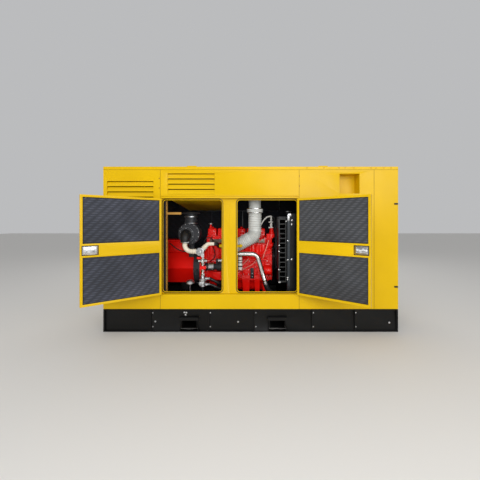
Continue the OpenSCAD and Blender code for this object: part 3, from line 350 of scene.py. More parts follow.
# Black radiator paint, satin
radiator_paint = enamel("black_radiator_paint", "#222326", "#151618", 0.36, bump=0.12)
# Cream duct, smooth and slightly glossy
duct_plastic = moulded("cream_duct_plastic", "#e2d8c6", "#c9bfaa", 0.35, bump=0.05)
# Bare cast aluminium with a sandy skin
cast_alloy = bare_metal("cast_aluminium", "#e2e4e6", "#a9abad", 0.34, bump=0.4)
# Plain bright steel pipe
pipe_steel = bare_metal("bright_steel_pipe", "#e6e6e4", "#b9b6b0", 0.2, bump=0.08)
# Bare cast iron, rough and browned by heat
turbo_iron = bare_metal("bare_cast_iron", "#8d867c", "#5a4b3f", 0.5, bump=0.5)
# Grey rings laid in the wrap's creases: painted shade, darker than the wrap, with brownish tone changes
crease_shade = moulded("wrap_crease", "#9a9892", "#7d7466", 0.6, grain_mm=3.0)
# Glass-cloth wrap, silver-white and matt
canvas_wrap = moulded("glass_cloth_wrap", "#cfd1ce", "#aeb0ab", 0.5, grain_mm=3.0, bump=0.5)

MATERIAL_OF = {
    "canopy_yellow": canopy_paint, "base_black": chassis_paint, "engine_red": engine_enamel,
    "seal_rubber": epdm_rubber, "hinge_black": coated_black, "bracket_tan": bracket_paint,
    "lining_foam": lining_cloth, "door_pad": pad_cloth_left, "lock_zinc": zinc_plate,
    "dark_iron": dark_iron, "radiator_black": radiator_paint, "duct_cream": duct_plastic,
    "cast_metal": cast_alloy, "pipe_steel": pipe_steel, "turbo_iron": turbo_iron,
    "wrap_white": canvas_wrap,
}
for entry in frame["record"]["subparts"]:
    solid = bpy.data.objects[entry["node"]]
    solid.data.materials.clear()
    solid.data.materials.append(MATERIAL_OF[entry["material_slot"]])


# Pieces: every CAD node gets rounded edges, and the rest is built round it

def seen(px, py, y):
    """The place that the camera sees at a pixel, at a depth of y metres."""
    scale = (y - camera.location.y) / FOCAL_PX
    return Vector((camera.location.x + (px - CENTRE_PX) * scale, y,
                   camera.location.z - (py - HORIZON_PX) * scale))


BODY_OF = {name: body for body, names in frame["record"]["behaviour"]["bodies"].items() for name in names}
SLOT_OF = {entry["node"]: entry["material_slot"] for entry in frame["record"]["subparts"]}


def soften(name, width, segments=2, angle=32, material=None):
    """A copy of a CAD node with its edges rounded."""
    bm = bmesh.new()
    bm.from_mesh(bpy.data.objects[name].data)
    bmesh.ops.remove_doubles(bm, verts=bm.verts, dist=0.00002)
    slot = SLOT_OF[name]
    mesh = bpy.data.meshes.new("dressed_" + name)
    bm.to_mesh(mesh)
    bm.free()
    piece = bpy.data.objects.new("dressed_" + name, mesh)
    bpy.context.scene.collection.objects.link(piece)
    mesh.materials.clear()
    mesh.materials.append(material or MATERIAL_OF[slot])
    mesh.shade_smooth()
    mesh.set_sharp_from_angle(angle=math.radians(angle))
    edge = piece.modifiers.new("rounded", "BEVEL")
    edge.width = width
    edge.segments = segments
    edge.limit_method = "ANGLE"
    edge.angle_limit = math.radians(angle)
    edge.use_clamp_overlap = True
    edge.harden_normals = True
    edge.miter_outer = "MITER_ARC"
    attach(piece, BODY_OF[name])
    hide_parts(name)
    return piece


EDGE_MM = {
    "skid_rails": 3, "skid_deck": 2, "forklift_pockets": 2.5, "engine_bearers": 3,
    "front_panel_left": 1.3, "front_header": 1.3, "front_sill": 1.3, "front_panel_right": 1.3,
    "corner_panel_right": 1.3, "door_surround_left": 1.2, "door_surround_right": 1.2,
    "front_louvres": 0.9, "wall_recess": 1.3, "hinge_knuckles": 1.2, "corner_fittings": 3,
    "rear_panels": 1.2, "rear_door_frame": 1.2, "rear_doors": 2, "end_wall_left": 1.2, "end_wall_right": 1.2,
    "end_louvres": 0.9, "roof": 1.3, "roof_baffle": 1, "inner_frame": 2.5,
    "door_left": 2.2, "door_left_lock": 1.5, "door_right": 2.2, "door_right_lock": 1.5,
    "alternator": 7, "terminal_box": 8, "coupling_ring": 4, "engine_block": 6, "cylinder_head": 5,
    "oil_pan": 9, "timing_cover": 8, "starter_motor": 4, "thermostat_housing": 7,
    "belt_drive": 1.2, "fan": 1.5, "radiator_core": 2, "radiator_frame": 3, "turbocharger": 4,
    "gas_mixer": 5, "gas_regulator": 3, "exhaust_silencer": 5,
}
for part, width_mm in EDGE_MM.items():
    special = alternator_enamel if part in ("alternator", "terminal_box") else None
    soften(part, width_mm * MM, material=special)


def add_sweep(bm, rings, sides=36, caps=True):
    """A skin over rings given as (place, direction, radius), joined ring to ring."""
    loops = []
    for place, way, r in rings:
        way = Vector(way).normalized()
        across = Vector((0, 1, 0)) if abs(way.y) < 0.8 else Vector((1, 0, 0))
        up = way.cross(across).normalized()
        across = up.cross(way)
        turn = Matrix((across, up, way)).transposed().to_4x4()
        made = bmesh.ops.create_circle(bm, cap_ends=False, segments=sides, radius=r,
                                       matrix=Matrix.Translation(Vector(place)) @ turn)
        loops.append(made["verts"])
    edges = [list({e for v in verts for e in v.link_edges}) for verts in loops]
    for a, b in zip(edges, edges[1:]):
        bmesh.ops.bridge_loops(bm, edges=a + b)
    if caps:
        for verts in (loops[0], loops[-1]):
            bmesh.ops.contextual_create(bm, geom=verts)
    return loops


def mm(*values):
    return Vector(values) * MM


def turned_mm(bm, profile, centre, axis, sides=48):
    return add_turned(bm, [(z * MM, r * MM) for z, r in profile], centre, axis, sides)


lining = soften("wall_linings", 6 * MM, segments=3)


# Exhaust: ribbed wrap from the turbine round the elbow and up, plain above its collar

EXHAUST_X = 58
EXHAUST_Y = -360
BEND = 130
TURN = 62
ELBOW_Z = 1298
WRAP_R = 92


def wrapped_exhaust():
    rings = []
    down = math.radians(TURN)
    way = Vector((math.sin(down), 0, math.cos(down)))
    foot = mm(EXHAUST_X - BEND * (1 - math.cos(down)), EXHAUST_Y, ELBOW_Z - BEND * math.sin(down))
    creases = []
    pleats = 9
    for k in range(pleats * 4, 0, -1):
        r = WRAP_R + (-5.0, 1.0, 3.0, 1.0)[k % 4] + random.uniform(-0.6, 0.6)
        rings.append((foot - way * (246 / (pleats * 4)) * k * MM, way, r * MM))
        if k % 4 == 0:
            creases.append(rings[-1])
    folds = 8
    for k in range(folds * 4):
        a = -down + down * k / (folds * 4)
        place = mm(EXHAUST_X - BEND + BEND * math.cos(a), EXHAUST_Y, ELBOW_Z + BEND * math.sin(a))
        r = WRAP_R + (-5.0, 1.0, 3.5, 1.0)[k % 4] + random.uniform(-0.6, 0.6)
        rings.append((place, (-math.sin(a), 0, math.cos(a)), r * MM))
        if k % 4 == 0:
            creases.append(rings[-1])
    z = ELBOW_Z
    k = 0
    while z < 1538:
        lean = 0.06 * math.sin(k * 1.9) + random.uniform(-0.02, 0.02)
        r = WRAP_R + (3.0, 1.0, -3.4)[k % 3] + random.uniform(-0.9, 0.9)
        rings.append((mm(EXHAUST_X, EXHAUST_Y, z), (lean, 0, 1), r * MM))
        if k % 3 == 2:
            creases.append(rings[-1])
        z += random.uniform(9, 14)
        k += 1
    for z, r in ((1540, 93), (1542, 106), (1548, 112), (1556, 113.5), (1575, 111.5), (1580, 112),
                 (1598, 113.5), (1606, 111), (1610, 104), (1611, 87)):
        rings.append((mm(EXHAUST_X, EXHAUST_Y, z), (0, 0, 1), r * MM))
    for z in range(1625, 1790, 40):
        rings.append((mm(EXHAUST_X, EXHAUST_Y, z), (0, 0, 1), (86 - (z // 40) % 2 * 0.5) * MM))
    for k in range(13):
        a = math.pi / 2 * k / 12
        place = mm(EXHAUST_X, EXHAUST_Y + 110 * (1 - math.cos(a)), 1790 + 110 * math.sin(a))
        rings.append((place, (0, math.sin(a), math.cos(a)), (86 - k % 2 * 1.5) * MM))
    rings.append((mm(EXHAUST_X, -168, 1900), (0, 1, 0), 86 * MM))
    bm = bmesh.new()
    add_sweep(bm, rings, sides=48)
    piece = finish_mesh("exhaust_wrap", bm, "enclosure", canvas_wrap, smooth=50,
                        replaces=("exhaust_pipe",))
    # Darker rings in the creases: painted shade in the folds of the wrap
    shade = bmesh.new()
    for place, way, r in creases:
        add_turned(shade, [(-2.2 * MM, r), (0, r + 1.6 * MM), (2.2 * MM, r), (-2.2 * MM, r)], place, way, 48)
    finish_mesh("wrap_creases", shade, "enclosure", crease_shade, smooth=50)
    band = bmesh.new()
    for z in (1546, 1604):
        turned_mm(band, [(-5, 112), (-5, 115.5), (5, 115.5), (5, 112)], mm(EXHAUST_X, EXHAUST_Y, z),
                  (0, 0, 1))
    finish_mesh("exhaust_bands", band, "enclosure", pipe_steel, smooth=40)
    return piece


wrapped_exhaust()


# Air cleaner: round can with a bolted front plate, a raised boss, clamp bands and an inlet stack

CLEANER = mm(-872, 0, 1250)
BOSS = mm(-905, -414, 1235)


def air_cleaner():
    bm = bmesh.new()
    back = -178
    front_face = -400
    turned_mm(bm, [(0, 0), (0, 140), (3, 146), (20, 147), (60, 147), (64, 150), (72, 150), (76, 147),
                   (140, 147), (144, 150), (152, 150), (156, 147), (192, 147), (192, 153), (195, 155),
                   (210, 155), (213, 153), (213, 149), (219, 147), (221, 144), (222, 138), (219, 134),
                   (219, 108), (222, 104), (222, 0)],
              mm(-872, back, 1250), (0, -1, 0), 64)
    turned_mm(bm, [(0, 0), (0, 102), (10, 102), (13, 100), (14, 96), (14, 80), (10, 76), (10, 0)],
              mm(-905, front_face - 0, 1235), (0, -1, 0), 56)
    turned_mm(bm, [(0, 0), (0, 88), (40, 88), (44, 92), (58, 92), (62, 86), (128, 86), (134, 93), (150, 93),
                   (156, 86), (176, 86), (182, 96), (188, 128), (193, 132), (198, 132), (202, 128),
                   (205, 90), (205, 0)],
              mm(-863, -300, 1346), (0, 0, 1), 56)
    add_box(bm, mm(-922, -180, 895), mm(-842, -171, 1310), 2 * MM)
    finish_mesh("air_cleaner_can", bm, "enclosure", dark_iron, smooth=35,
                replaces=("air_cleaner",))
    bm = bmesh.new()
    for k in range(14):
        a = math.tau * (k + 0.3) / 14
        place = mm(-872 + 139 * math.cos(a), front_face + 1, 1250 + 139 * math.sin(a))
        if (place - mm(-905, front_face + 1, 1235)).length > 108 * MM:
            add_rod(bm, place, place - mm(0, 5, 0), 5.5 * MM, sides=6, bevel=0.8 * MM)
    for a in (0.5, 1.6, 2.7, 3.9, 5.0, 6.0):
        place = BOSS + mm(90 * math.cos(a), 1, 90 * math.sin(a))
        add_rod(bm, place, place - mm(0, 5, 0), 4.5 * MM, sides=6, bevel=0.8 * MM)
    finish_mesh("air_cleaner_bolts", bm, "enclosure", zinc_plate, smooth=30)
    bm = bmesh.new()
    turned_mm(bm, [(0, 93.2), (0, 95.5), (12, 95.5), (12, 93.2)], mm(-863, -300, 1484), (0, 0, 1), 56)
    turned_mm(bm, [(0, 92.2), (0, 94.5), (10, 94.5), (10, 92.2)], mm(-863, -300, 1392), (0, 0, 1), 56)
    turned_mm(bm, [(0, 100.5), (0, 103.2), (3, 103.2), (3, 100.5)], mm(-905, front_face - 4, 1235),
              (0, -1, 0), 56)
    finish_mesh("air_cleaner_bands", bm, "enclosure", zinc_plate, smooth=40)


air_cleaner()


def rubber_elbow():
    bm = bmesh.new()
    rings = []
    reach = 66
    y0 = -426
    z0 = 1235
    for y, r in ((-412, 76), (-414, 80), (-419, 80), (-421, 74), (-424, 72)):
        rings.append((mm(-905, y, z0), (0, -1, 0), r * MM))
    for k in range(1, 12):
        a = math.pi / 2 * k / 12
        rings.append((mm(-905, y0 - reach * math.sin(a), z0 - reach * (1 - math.cos(a))),
                      (0, -math.cos(a), -math.sin(a)), (70 - 11 * k / 12) * MM))
    for z, r in ((1170, 58), (1158, 57), (1155, 60), (1150, 61), (1146, 60), (1143, 56), (1138, 56),
                 (1131, 55)):
        rings.append((mm(-905, -492, z), (0, 0, -1), r * MM))
    add_sweep(bm, rings, sides=48)
    finish_mesh("rubber_elbow", bm, "enclosure", epdm_rubber, smooth=45,
                replaces=("air_elbow",))
    bm = bmesh.new()
    turned_mm(bm, [(0, 57), (0, 58.8), (9, 58.8), (9, 57)], mm(-905, -492, 1134), (0, 0, 1), 48)
    add_box(bm, mm(-868, -548, 1132), mm(-842, -534, 1144), 2 * MM)
    finish_mesh("elbow_clamp", bm, "enclosure", zinc_plate, smooth=40)


rubber_elbow()


def mixture_pipes():
    bm = bmesh.new()
    rings = [(mm(-905, -492, z), (0, 0, -1), 32 * MM) for z in (1133, 1110, 1104)]
    for k in range(0, 17):
        a = math.pi / 2 * k / 16
        rings.append((mm(-815 - 90 * math.cos(a), -492, 1102 - 90 * math.sin(a)),
                      (math.sin(a), 0, -math.cos(a)), 32 * MM))
    for x, r in ((-810, 32), (-790, 32), (-786, 36), (-778, 36), (-774, 32), (-760, 32), (-756, 37),
                 (-744, 37)):
        rings.append((mm(x, -492, 1012), (1, 0, 0), r * MM))
    add_sweep(bm, rings, sides=40)
    half = math.sqrt(0.5)
    slope = Vector((half, 0, half))
    start = mm(-690, -492, 1012)
    rings = []
    for d, r in ((58, 36), (70, 36), (72, 30), (84, 29), (86, 37), (94, 37), (96, 29), (112, 29), (130, 29)):
        rings.append((start + slope * d * MM, slope, r * MM))
    for k in range(1, 9):
        a = math.radians(45) * k / 8
        centre = start + slope * 130 * MM + Vector((half, 0, -half)) * 40 * MM
        rings.append((centre + Vector((-math.sin(math.radians(45) - a), 0,
                                       math.cos(math.radians(45) - a))) * 40 * MM,
                      (math.cos(math.radians(45) - a), 0, math.sin(math.radians(45) - a)),
                      (29 - 4 * k / 8) * MM))
    end_z = rings[-1][0].z
    for x, r in ((-555, 25), (-540, 25), (-520, 25), (-500, 25)):
        rings.append(((x * MM, -0.492, end_z), (1, 0, 0), r * MM))
    add_sweep(bm, rings, sides=36)
    finish_mesh("mixture_pipes", bm, "enclosure", duct_plastic, smooth=45,
                replaces=("mixture_tubes",))


mixture_pipes()


def smooth_hose(name, points, r, material, replaces=()):
    """A hose along a smooth curve, fixed at both ends."""
    return tube_curve(name, [tuple(p) for p in points], r, "enclosure", material, replaces=replaces)


smooth_hose("charge_hose_skin", [mm(-502, -492, 1114), mm(-486, -492, 1114), mm(-468, -486, 1112),
                                 mm(-458, -462, 1106), mm(-458, -410, 1083), mm(-454, -378, 1071),
                                 mm(-436, -361, 1065), mm(-414, -360, 1064)],
            24.5 * MM, epdm_rubber, replaces=("charge_hose",))


def coolant_run():
    tilt = math.radians(16)
    rings = []
    r = 31
    y = -498
    rings.append((mm(-330, -236, 976), (0, -1, 0), r * MM))
    for k in range(0, 11):
        a = math.pi / 2 * k / 10
        rings.append((mm(-280 - 50 * math.cos(a), y + 50 - 50 * math.sin(a), 976),
                      (math.sin(a), -math.cos(a), 0), r * MM))
    for x in (-250, -200, -190, -188, -100, 0):
        rings.append((mm(x, y, 976), (1, 0, 0), r * MM))
    for k in range(0, 15):
        a = math.pi / 2 - (math.pi / 2 - tilt) * k / 14
        rings.append((mm(14 + 95 * math.cos(a), y, 881 + 95 * math.sin(a)),
                      (math.sin(a), 0, -math.cos(a)), r * MM))
    way = Vector((math.sin(tilt), 0, -math.cos(tilt)))
    start = mm(14 + 95 * math.cos(tilt), y, 881 + 95 * math.sin(tilt))
    for d, k in ((20, 0), (150, 0), (285, 0), (290, 2.5), (298, 2.5), (303, 0), (332, 0)):
        rings.append((start + way * d * MM, way, (r + k) * MM))
    bm = bmesh.new()
    add_sweep(bm, rings, sides=40)
    finish_mesh("coolant_tube", bm, "enclosure", pipe_steel, smooth=45,
                replaces=("coolant_pipe",))
    p = start + way * 318 * MM
    points = [p, p + way * 0.05, p + way * 0.10 + mm(4, 5, 0), p + way * 0.15 + mm(22, 20, 0),
              mm(312, -468, 436),
              mm(360, -460, 424), mm(430, -455, 420), mm(490, -451, 424), mm(520, -450, 440),
              mm(530, -450, 480),
              mm(530, -450, 530), mm(530, -450, 562)]
    smooth_hose("coolant_hose_skin", points, 34.5 * MM, epdm_rubber,
                replaces=("coolant_hose",))
    bm = bmesh.new()
    for d in (326, 352):
        turn = way.to_track_quat("Z", "Y")
        turned_mm(bm, [(-5, 34.6), (-5, 36.2), (5, 36.2), (5, 34.6)], start + way * d * MM, way, 40)
    add_box(bm, start + way * 0.339 + mm(-8, -46, -14), start + way * 0.339 + mm(8, -34, 14), 2 * MM)
    turned_mm(bm, [(-5, 34.6), (-5, 36.2), (5, 36.2), (5, 34.6)], mm(530, -450, 545), (0, 0, 1), 40)
    finish_mesh("coolant_clamps", bm, "enclosure", zinc_plate, smooth=40)


coolant_run()


# Rolled edge round each door opening

def opening_edge(name, x0, x1, z0, z1, r):
    points = []
    for cx, cz, a0 in ((x1 - r, z1 - r, 0), (x0 + r, z1 - r, 90), (x0 + r, z0 + r, 180),
                       (x1 - r, z0 + r, 270)):
        for k in range(9):
            a = math.radians(a0 + 90 * k / 8)
            points.append(mm(cx + r * math.cos(a), -668, cz + r * math.sin(a)))
    tube_curve(name, [tuple(p) for p in points], 5.5 * MM, "enclosure", canopy_paint,
               cyclic=True, sides=4)


opening_edge("opening_edge_left", -1149.5, -373, 501, 1706, 44)
opening_edge("opening_edge_right", -179, 607.5, 501, 1706, 44)


# Doors: foam boards with a woven face, pulled in at their edges

PIN = {"left": mm(-1160, -734, 0), "right": mm(620, -734, 0)}
OPEN = {"left": math.radians(-143), "right": math.radians(143)}


def door_point(side, x, y, z):
    """A place on a shut door, in millimetres, carried to where the door stands open."""
    pin = PIN[side]
    return pin + Matrix.Rotation(OPEN[side], 3, "Z") @ (mm(x, y, z) - pin)


def door_pads(side, x0):
    bm = bmesh.new()
    for z0, z1 in ((518, 1028.5), (1178.5, 1689)):
        a, b = mm(x0 + 26.5, -721, z0 + 0.5), mm(x0 + 854.5, -683, z1 - 0.5)
        verts = add_box(bm, a, b)
        edges = list({e for v in verts for e in v.link_edges})
        bmesh.ops.subdivide_edges(bm, edges=edges, cuts=11, use_grid_fill=True)
        for v in bm.verts:
            if a.z - MM < v.co.z < b.z + MM and abs(v.co.y - b.y) < 0.01 * MM:
                u = (v.co.x - a.x) / (b.x - a.x)
                w = (v.co.z - a.z) / (b.z - a.z)
                rise = (1 - (2 * u - 1) ** 8) * (1 - (2 * w - 1) ** 8)
                v.co.y += (rise * 5 - 4 + math.sin(u * 19 + w * 7) * 0.3 * rise) * MM
    for v in bm.verts:
        v.co = Vector(door_point(side, *(v.co / MM)))
    piece = finish_mesh(f"pads_{side}", bm, f"door_{side}",
                        pad_cloth_left if side == "left" else pad_cloth_right,
                        smooth=60, replaces=(f"door_{side}_pads",))
    # Bonded edge trim that holds each board
    bm = bmesh.new()
    for z0, z1 in ((518, 1028.5), (1178.5, 1689)):
        for p, q in (((x0 + 26.5, -683, z0 + 3), (x0 + 854.5, -683, z0 + 3)),
                     ((x0 + 26.5, -683, z1 - 3), (x0 + 854.5, -683, z1 - 3)),
                     ((x0 + 29, -683, z0 + 3), (x0 + 29, -683, z1 - 3)),
                     ((x0 + 852, -683, z0 + 3), (x0 + 852, -683, z1 - 3))):
            add_rod(bm, door_point(side, *p), door_point(side, *q), 2.4 * MM, sides=8)
    finish_mesh(f"pad_trim_{side}", bm, f"door_{side}", epdm_rubber, smooth=40)


door_pads("left", -1156)
door_pads("right", -265.5)


def lock_details(side, x):
    """Rods, springs and screws of the lock's inner side."""
    bright = bmesh.new()
    z = 1103.5
    for dx, dz, r, h in ((26, 0, 13, 8), (60, 6, 15, 9), (86, -5, 16, 10), (122, 2, 12, 8)):
        add_rod(bright, door_point(side, x + dx, -693, z + dz), door_point(side, x + dx, -693 + h, z + dz),
                r * MM, sides=14, bevel=1.5 * MM)
    for dx in (18, 132):
        for dz in (-25, 25):
            add_rod(bright, door_point(side, x + dx, -692, z + dz), door_point(side, x + dx, -687, z + dz),
                    5 * MM, sides=8, bevel=1 * MM)
    add_rod(bright, door_point(side, x + 22, -684, z + 2), door_point(side, x + 128, -684, z + 2), 5 * MM,
            sides=10)
    finish_mesh(f"lock_works_{side}", bright, f"door_{side}", lock_white, smooth=35)
    bm = bmesh.new()
    for a, b in (((-6, -54), (156, -46)), ((-6, 46), (156, 54)), ((-6, -46), (2, 46)),
                 ((148, -46), (156, 46))):
        corner = [door_point(side, x + px, y, z + pz) for px in (a[0], b[0]) for y in (-677.5, -674)
                  for pz in (a[1], b[1])]
        made = [bm.verts.new(c) for c in corner]
        bmesh.ops.convex_hull(bm, input=made)
    finish_mesh(f"lock_frame_{side}", bm, f"door_{side}", coated_black, smooth=30)


lock_details("left", -1156 + 881 - 150 - 22)
lock_details("right", -265.5 + 22)


# Bolts and seams of the canopy, with bolt places read off the photograph in pixels

ROOF_BOLT_ROW_PX = 168
ROOF_BOLTS_PX = (307, 324, 339, 345, 354, 371, 376, 384, 391)
SEAM_BOLTS_PX = ((299.4, 176), (299.4, 186), (159.2, 178.5), (159.2, 188))
SKID_BOLTS_PX = ((184.4, 312.4), (186.4, 312.6), (185.6, 314.8), (389.3, 322.7), (155.3, 321.5), (238, 321.8))
DEPTH = 1.45

def bolt(bm, place, way, r, h=None, sides=6):
    place = Vector(place)
    way = Vector(way).normalized()
    h = h or r * 0.8
    add_rod(bm, place - way * 0.001, place + way * 0.0012, r * 1.45, sides=16)
    add_rod(bm, place, place + way * h, r, sides=sides, bevel=r * 0.18)


def canopy_bolts():
    bm = bmesh.new()
    for px in ROOF_BOLTS_PX:
        bolt(bm, seen(px, ROOF_BOLT_ROW_PX, -0.725), (0, -1, 0), 5 * MM)
        bolt(bm, seen(px, ROOF_BOLT_ROW_PX, -0.725) + Vector((0, DEPTH, 0)), (0, 1, 0), 5 * MM)
    for px, py in SEAM_BOLTS_PX:
        bolt(bm, seen(px, py, -0.725), (0, -1, 0), 5 * MM)
    for x in (-1880, -1190, 640, 1575, 1605, 1880):
        for z in (330, 700, 1150, 1600, 2050):
            if z > 1800 or z < 400 or abs(x) > 1850 or x > 1500:
                bolt(bm, mm(x, 725, z), (0, 1, 0), 5 * MM)
    for side in (-1, 1):
        for y in (-640, -520, 520, 640):
            for z in (340, 780, 1220, 1660, 2060):
                bolt(bm, mm(side * 1900, y, z), (side, 0, 0), 5 * MM)
    finish_mesh("canopy_bolts", bm, "enclosure", bronze_bolt, smooth=30)
    # Seams: thin dark strips over the joints, painted shade in the gaps between sheets
    bm = bmesh.new()
    for x in (-1164.5, 624.5, 1590):
        for y in (-725.4, 725.4):
            for z0, z1 in (((297, 480), (1728, 2088)) if x < 1500 else ((297, 2088),)):
                add_box(bm, mm(x - 1.8, y - 0.5, z0), mm(x + 1.8, y + 0.5, z1))
    for y in (-725.4, 725.4):
        add_box(bm, mm(-1899, y - 0.5, 2088.5), mm(1899, y + 0.5, 2091.5))
    for side in (-1, 1):
        add_box(bm, mm(side * 1900 - 0.6, -724, 2088.5), mm(side * 1900 + 0.6, 724, 2091.5))
        for y in (-693, 693):
            add_box(bm, mm(side * 1900 - 0.6, y - 1.8, 297), mm(side * 1900 + 0.6, y + 1.8, 2088))
    finish_mesh("panel_seams", bm, "enclosure", seam_shadow)
    bm = bmesh.new()
    for px, py in SKID_BOLTS_PX:
        bolt(bm, seen(px, py, -0.705), (0, -1, 0), 8 * MM)
    for x in (-1290, -545, 45, 790, 1340):
        for z in (60, 240):
            bolt(bm, mm(x + 22, -703, z), (0, -1, 0), 6 * MM)
            bolt(bm, mm(x + 22, 703, z), (0, 1, 0), 6 * MM)
    finish_mesh("skid_bolts", bm, "enclosure", zinc_plate, smooth=30)


canopy_bolts()


# Lining: seams, trims and post

def lining_trims():
    bm = bmesh.new()
    add_box(bm, mm(-960, 624, 1610), mm(496, 628.2, 1617), 1 * MM)
    add_box(bm, mm(-156, 623, 1309), mm(-144, 628.2, 1611), 1 * MM)
    add_box(bm, mm(500, 625, 1614), mm(505, 628.2, 2088), 0.8 * MM)
    add_box(bm, mm(-700, 625, 300), mm(-696, 628.2, 1600), 0.8 * MM)
    finish_mesh("lining_trims", bm, "enclosure", dull_trim, smooth=30)
    bm = bmesh.new()
    for k in range(28):
        add_rod(bm, mm(-1121, -600, 330 + 62 * k), mm(-1121, -603, 330 + 62 * k), 4.5 * MM, sides=8)
    finish_mesh("post_rivets", bm, "enclosure", coated_black, smooth=30)


lining_trims()


# Gas train

def gas_train():
    y = -492
    x = -660
    bm = bmesh.new()
    turned_mm(bm, [(0, 0), (0, 15), (270, 15), (270, 0)], mm(x, y, 690), (0, 0, 1), 24)
    # Cross valve with plugs
    turned_mm(bm, [(0, 0), (0, 24), (4, 30), (30, 31), (56, 30), (60, 24), (60, 0)], mm(x, y, 852),
              (0, 0, 1), 24)
    for side in (-1, 1):
        add_rod(bm, mm(x, y, 884), mm(x + side * 50, y, 884), 20 * MM, sides=20)
        add_rod(bm, mm(x + side * 38, y, 884), mm(x + side * 58, y, 884), 26 * MM, sides=6, bevel=3 * MM)
    add_rod(bm, mm(x, y, 884), mm(x, y - 42, 884), 16 * MM, sides=18)
    add_rod(bm, mm(x, y - 36, 884), mm(x, y - 50, 884), 21 * MM, sides=6, bevel=3 * MM)
    for z, r in ((838, 27), (918, 25), (744, 28), (700, 30)):
        add_rod(bm, mm(x, y, z - 8), mm(x, y, z + 8), r * MM, sides=6, bevel=2.5 * MM)
    for k in range(5):
        add_rod(bm, mm(x, y, 708 + 7 * k), mm(x, y, 712 + 7 * k), 21 * MM, sides=20)
    finish_mesh("gas_fittings", bm, "enclosure", pipe_steel, smooth=35, replaces=("gas_line",))
    bm = bmesh.new()
    add_box(bm, mm(x - 36, y - 34, 768), mm(x + 48, y + 30, 812), 7 * MM, 3)
    add_rod(bm, mm(x + 20, y - 32, 790), mm(x + 20, y - 46, 790), 17 * MM, sides=20, bevel=3 * MM)
    add_box(bm, mm(x - 78, y - 26, 908), mm(x - 36, y - 6, 938), 7 * MM, 3)
    add_rod(bm, mm(x - 40, y - 14, 922), mm(x - 6, y - 6, 918), 9 * MM, sides=14)
    finish_mesh("gas_valve_coil", bm, "enclosure", engine_enamel, smooth=40)
    bm = bmesh.new()
    turned_mm(bm, [(0, 0), (0, 36), (6, 43), (16, 43), (18, 38), (26, 37), (30, 45), (78, 45), (82, 50),
                   (96, 50),
                   (100, 45), (112, 44), (118, 34), (126, 30), (150, 30), (156, 24), (172, 24), (172, 0)],
              mm(x, y, 528), (0, 0, 1), 28)
    for a in range(8):
        t = math.tau * a / 8
        add_rod(bm, mm(x + 44 * math.cos(t), y + 44 * math.sin(t), 608),
                mm(x + 44 * math.cos(t), y + 44 * math.sin(t), 632),
                5 * MM, sides=6, bevel=1 * MM)
    add_box(bm, mm(x - 44, y - 48, 552), mm(x - 12, y - 36, 600), 4 * MM)
    for z in (640, 560):
        add_rod(bm, mm(x + 30, y, z), mm(x + 84, y, z), 17 * MM, sides=20)
        add_rod(bm, mm(x + 46, y, z), mm(x + 60, y, z), 24 * MM, sides=6, bevel=2 * MM)
    finish_mesh("gas_filter_bowl", bm, "enclosure", cast_alloy, smooth=35,
                replaces=("gas_filter",))
    bm = bmesh.new()
    add_rod(bm, mm(x, y, 300), mm(x, y, 530), 12 * MM, sides=20)
    add_rod(bm, mm(x, y, 295), mm(x, y, 303), 44 * MM, sides=28, bevel=2 * MM)
    finish_mesh("gas_filter_stand", bm, "enclosure", coated_black, smooth=35)
    bm = bmesh.new()
    for k in range(8):
        a = math.radians(22.5 + 45 * k)
        place = mm(-690 + 46 * math.cos(a), -544, 1012 + 46 * math.sin(a))
        add_rod(bm, place, place - mm(0, 7, 0), 5.5 * MM, sides=6, bevel=1 * MM)
    turned_mm(bm, [(0, 41), (3, 41), (6, 38), (6, 24), (9, 23), (18, 23), (20, 20), (20, 0)],
              mm(-690, -553, 1012), (0, -1, 0), 36)
    finish_mesh("mixer_cover", bm, "enclosure", zinc_plate, smooth=35)
    for name, top, low_z in (("bypass_hose_upper", 640, 556), ("bypass_hose_lower", 560, 488)):
        d = top - low_z
        points = [mm(-578, y, top), mm(-560, y, top - 1), mm(-520, y + 4, top - d * 0.25),
                  mm(-470, y + 12, top - d * 0.6),
                  mm(-420, y + 22, low_z + 4), mm(-370, y + 50, low_z - 20), mm(-330, y + 110, low_z - 50),
                  mm(-318, -300, min(low_z - 70, 430)), mm(-316, -262, 400), mm(-316, -252, 388)]
        smooth_hose(name, points, 20 * MM, gloss_hose)
    bm = bmesh.new()
    for z in (640, 560):
        turned_mm(bm, [(0, 20.2), (0, 21.8), (8, 21.8), (8, 20.2)], mm(-572, y, z), (1, 0, 0), 28)
    finish_mesh("bypass_clamps", bm, "enclosure", zinc_plate, smooth=40)


gas_train()


# Engine dressing

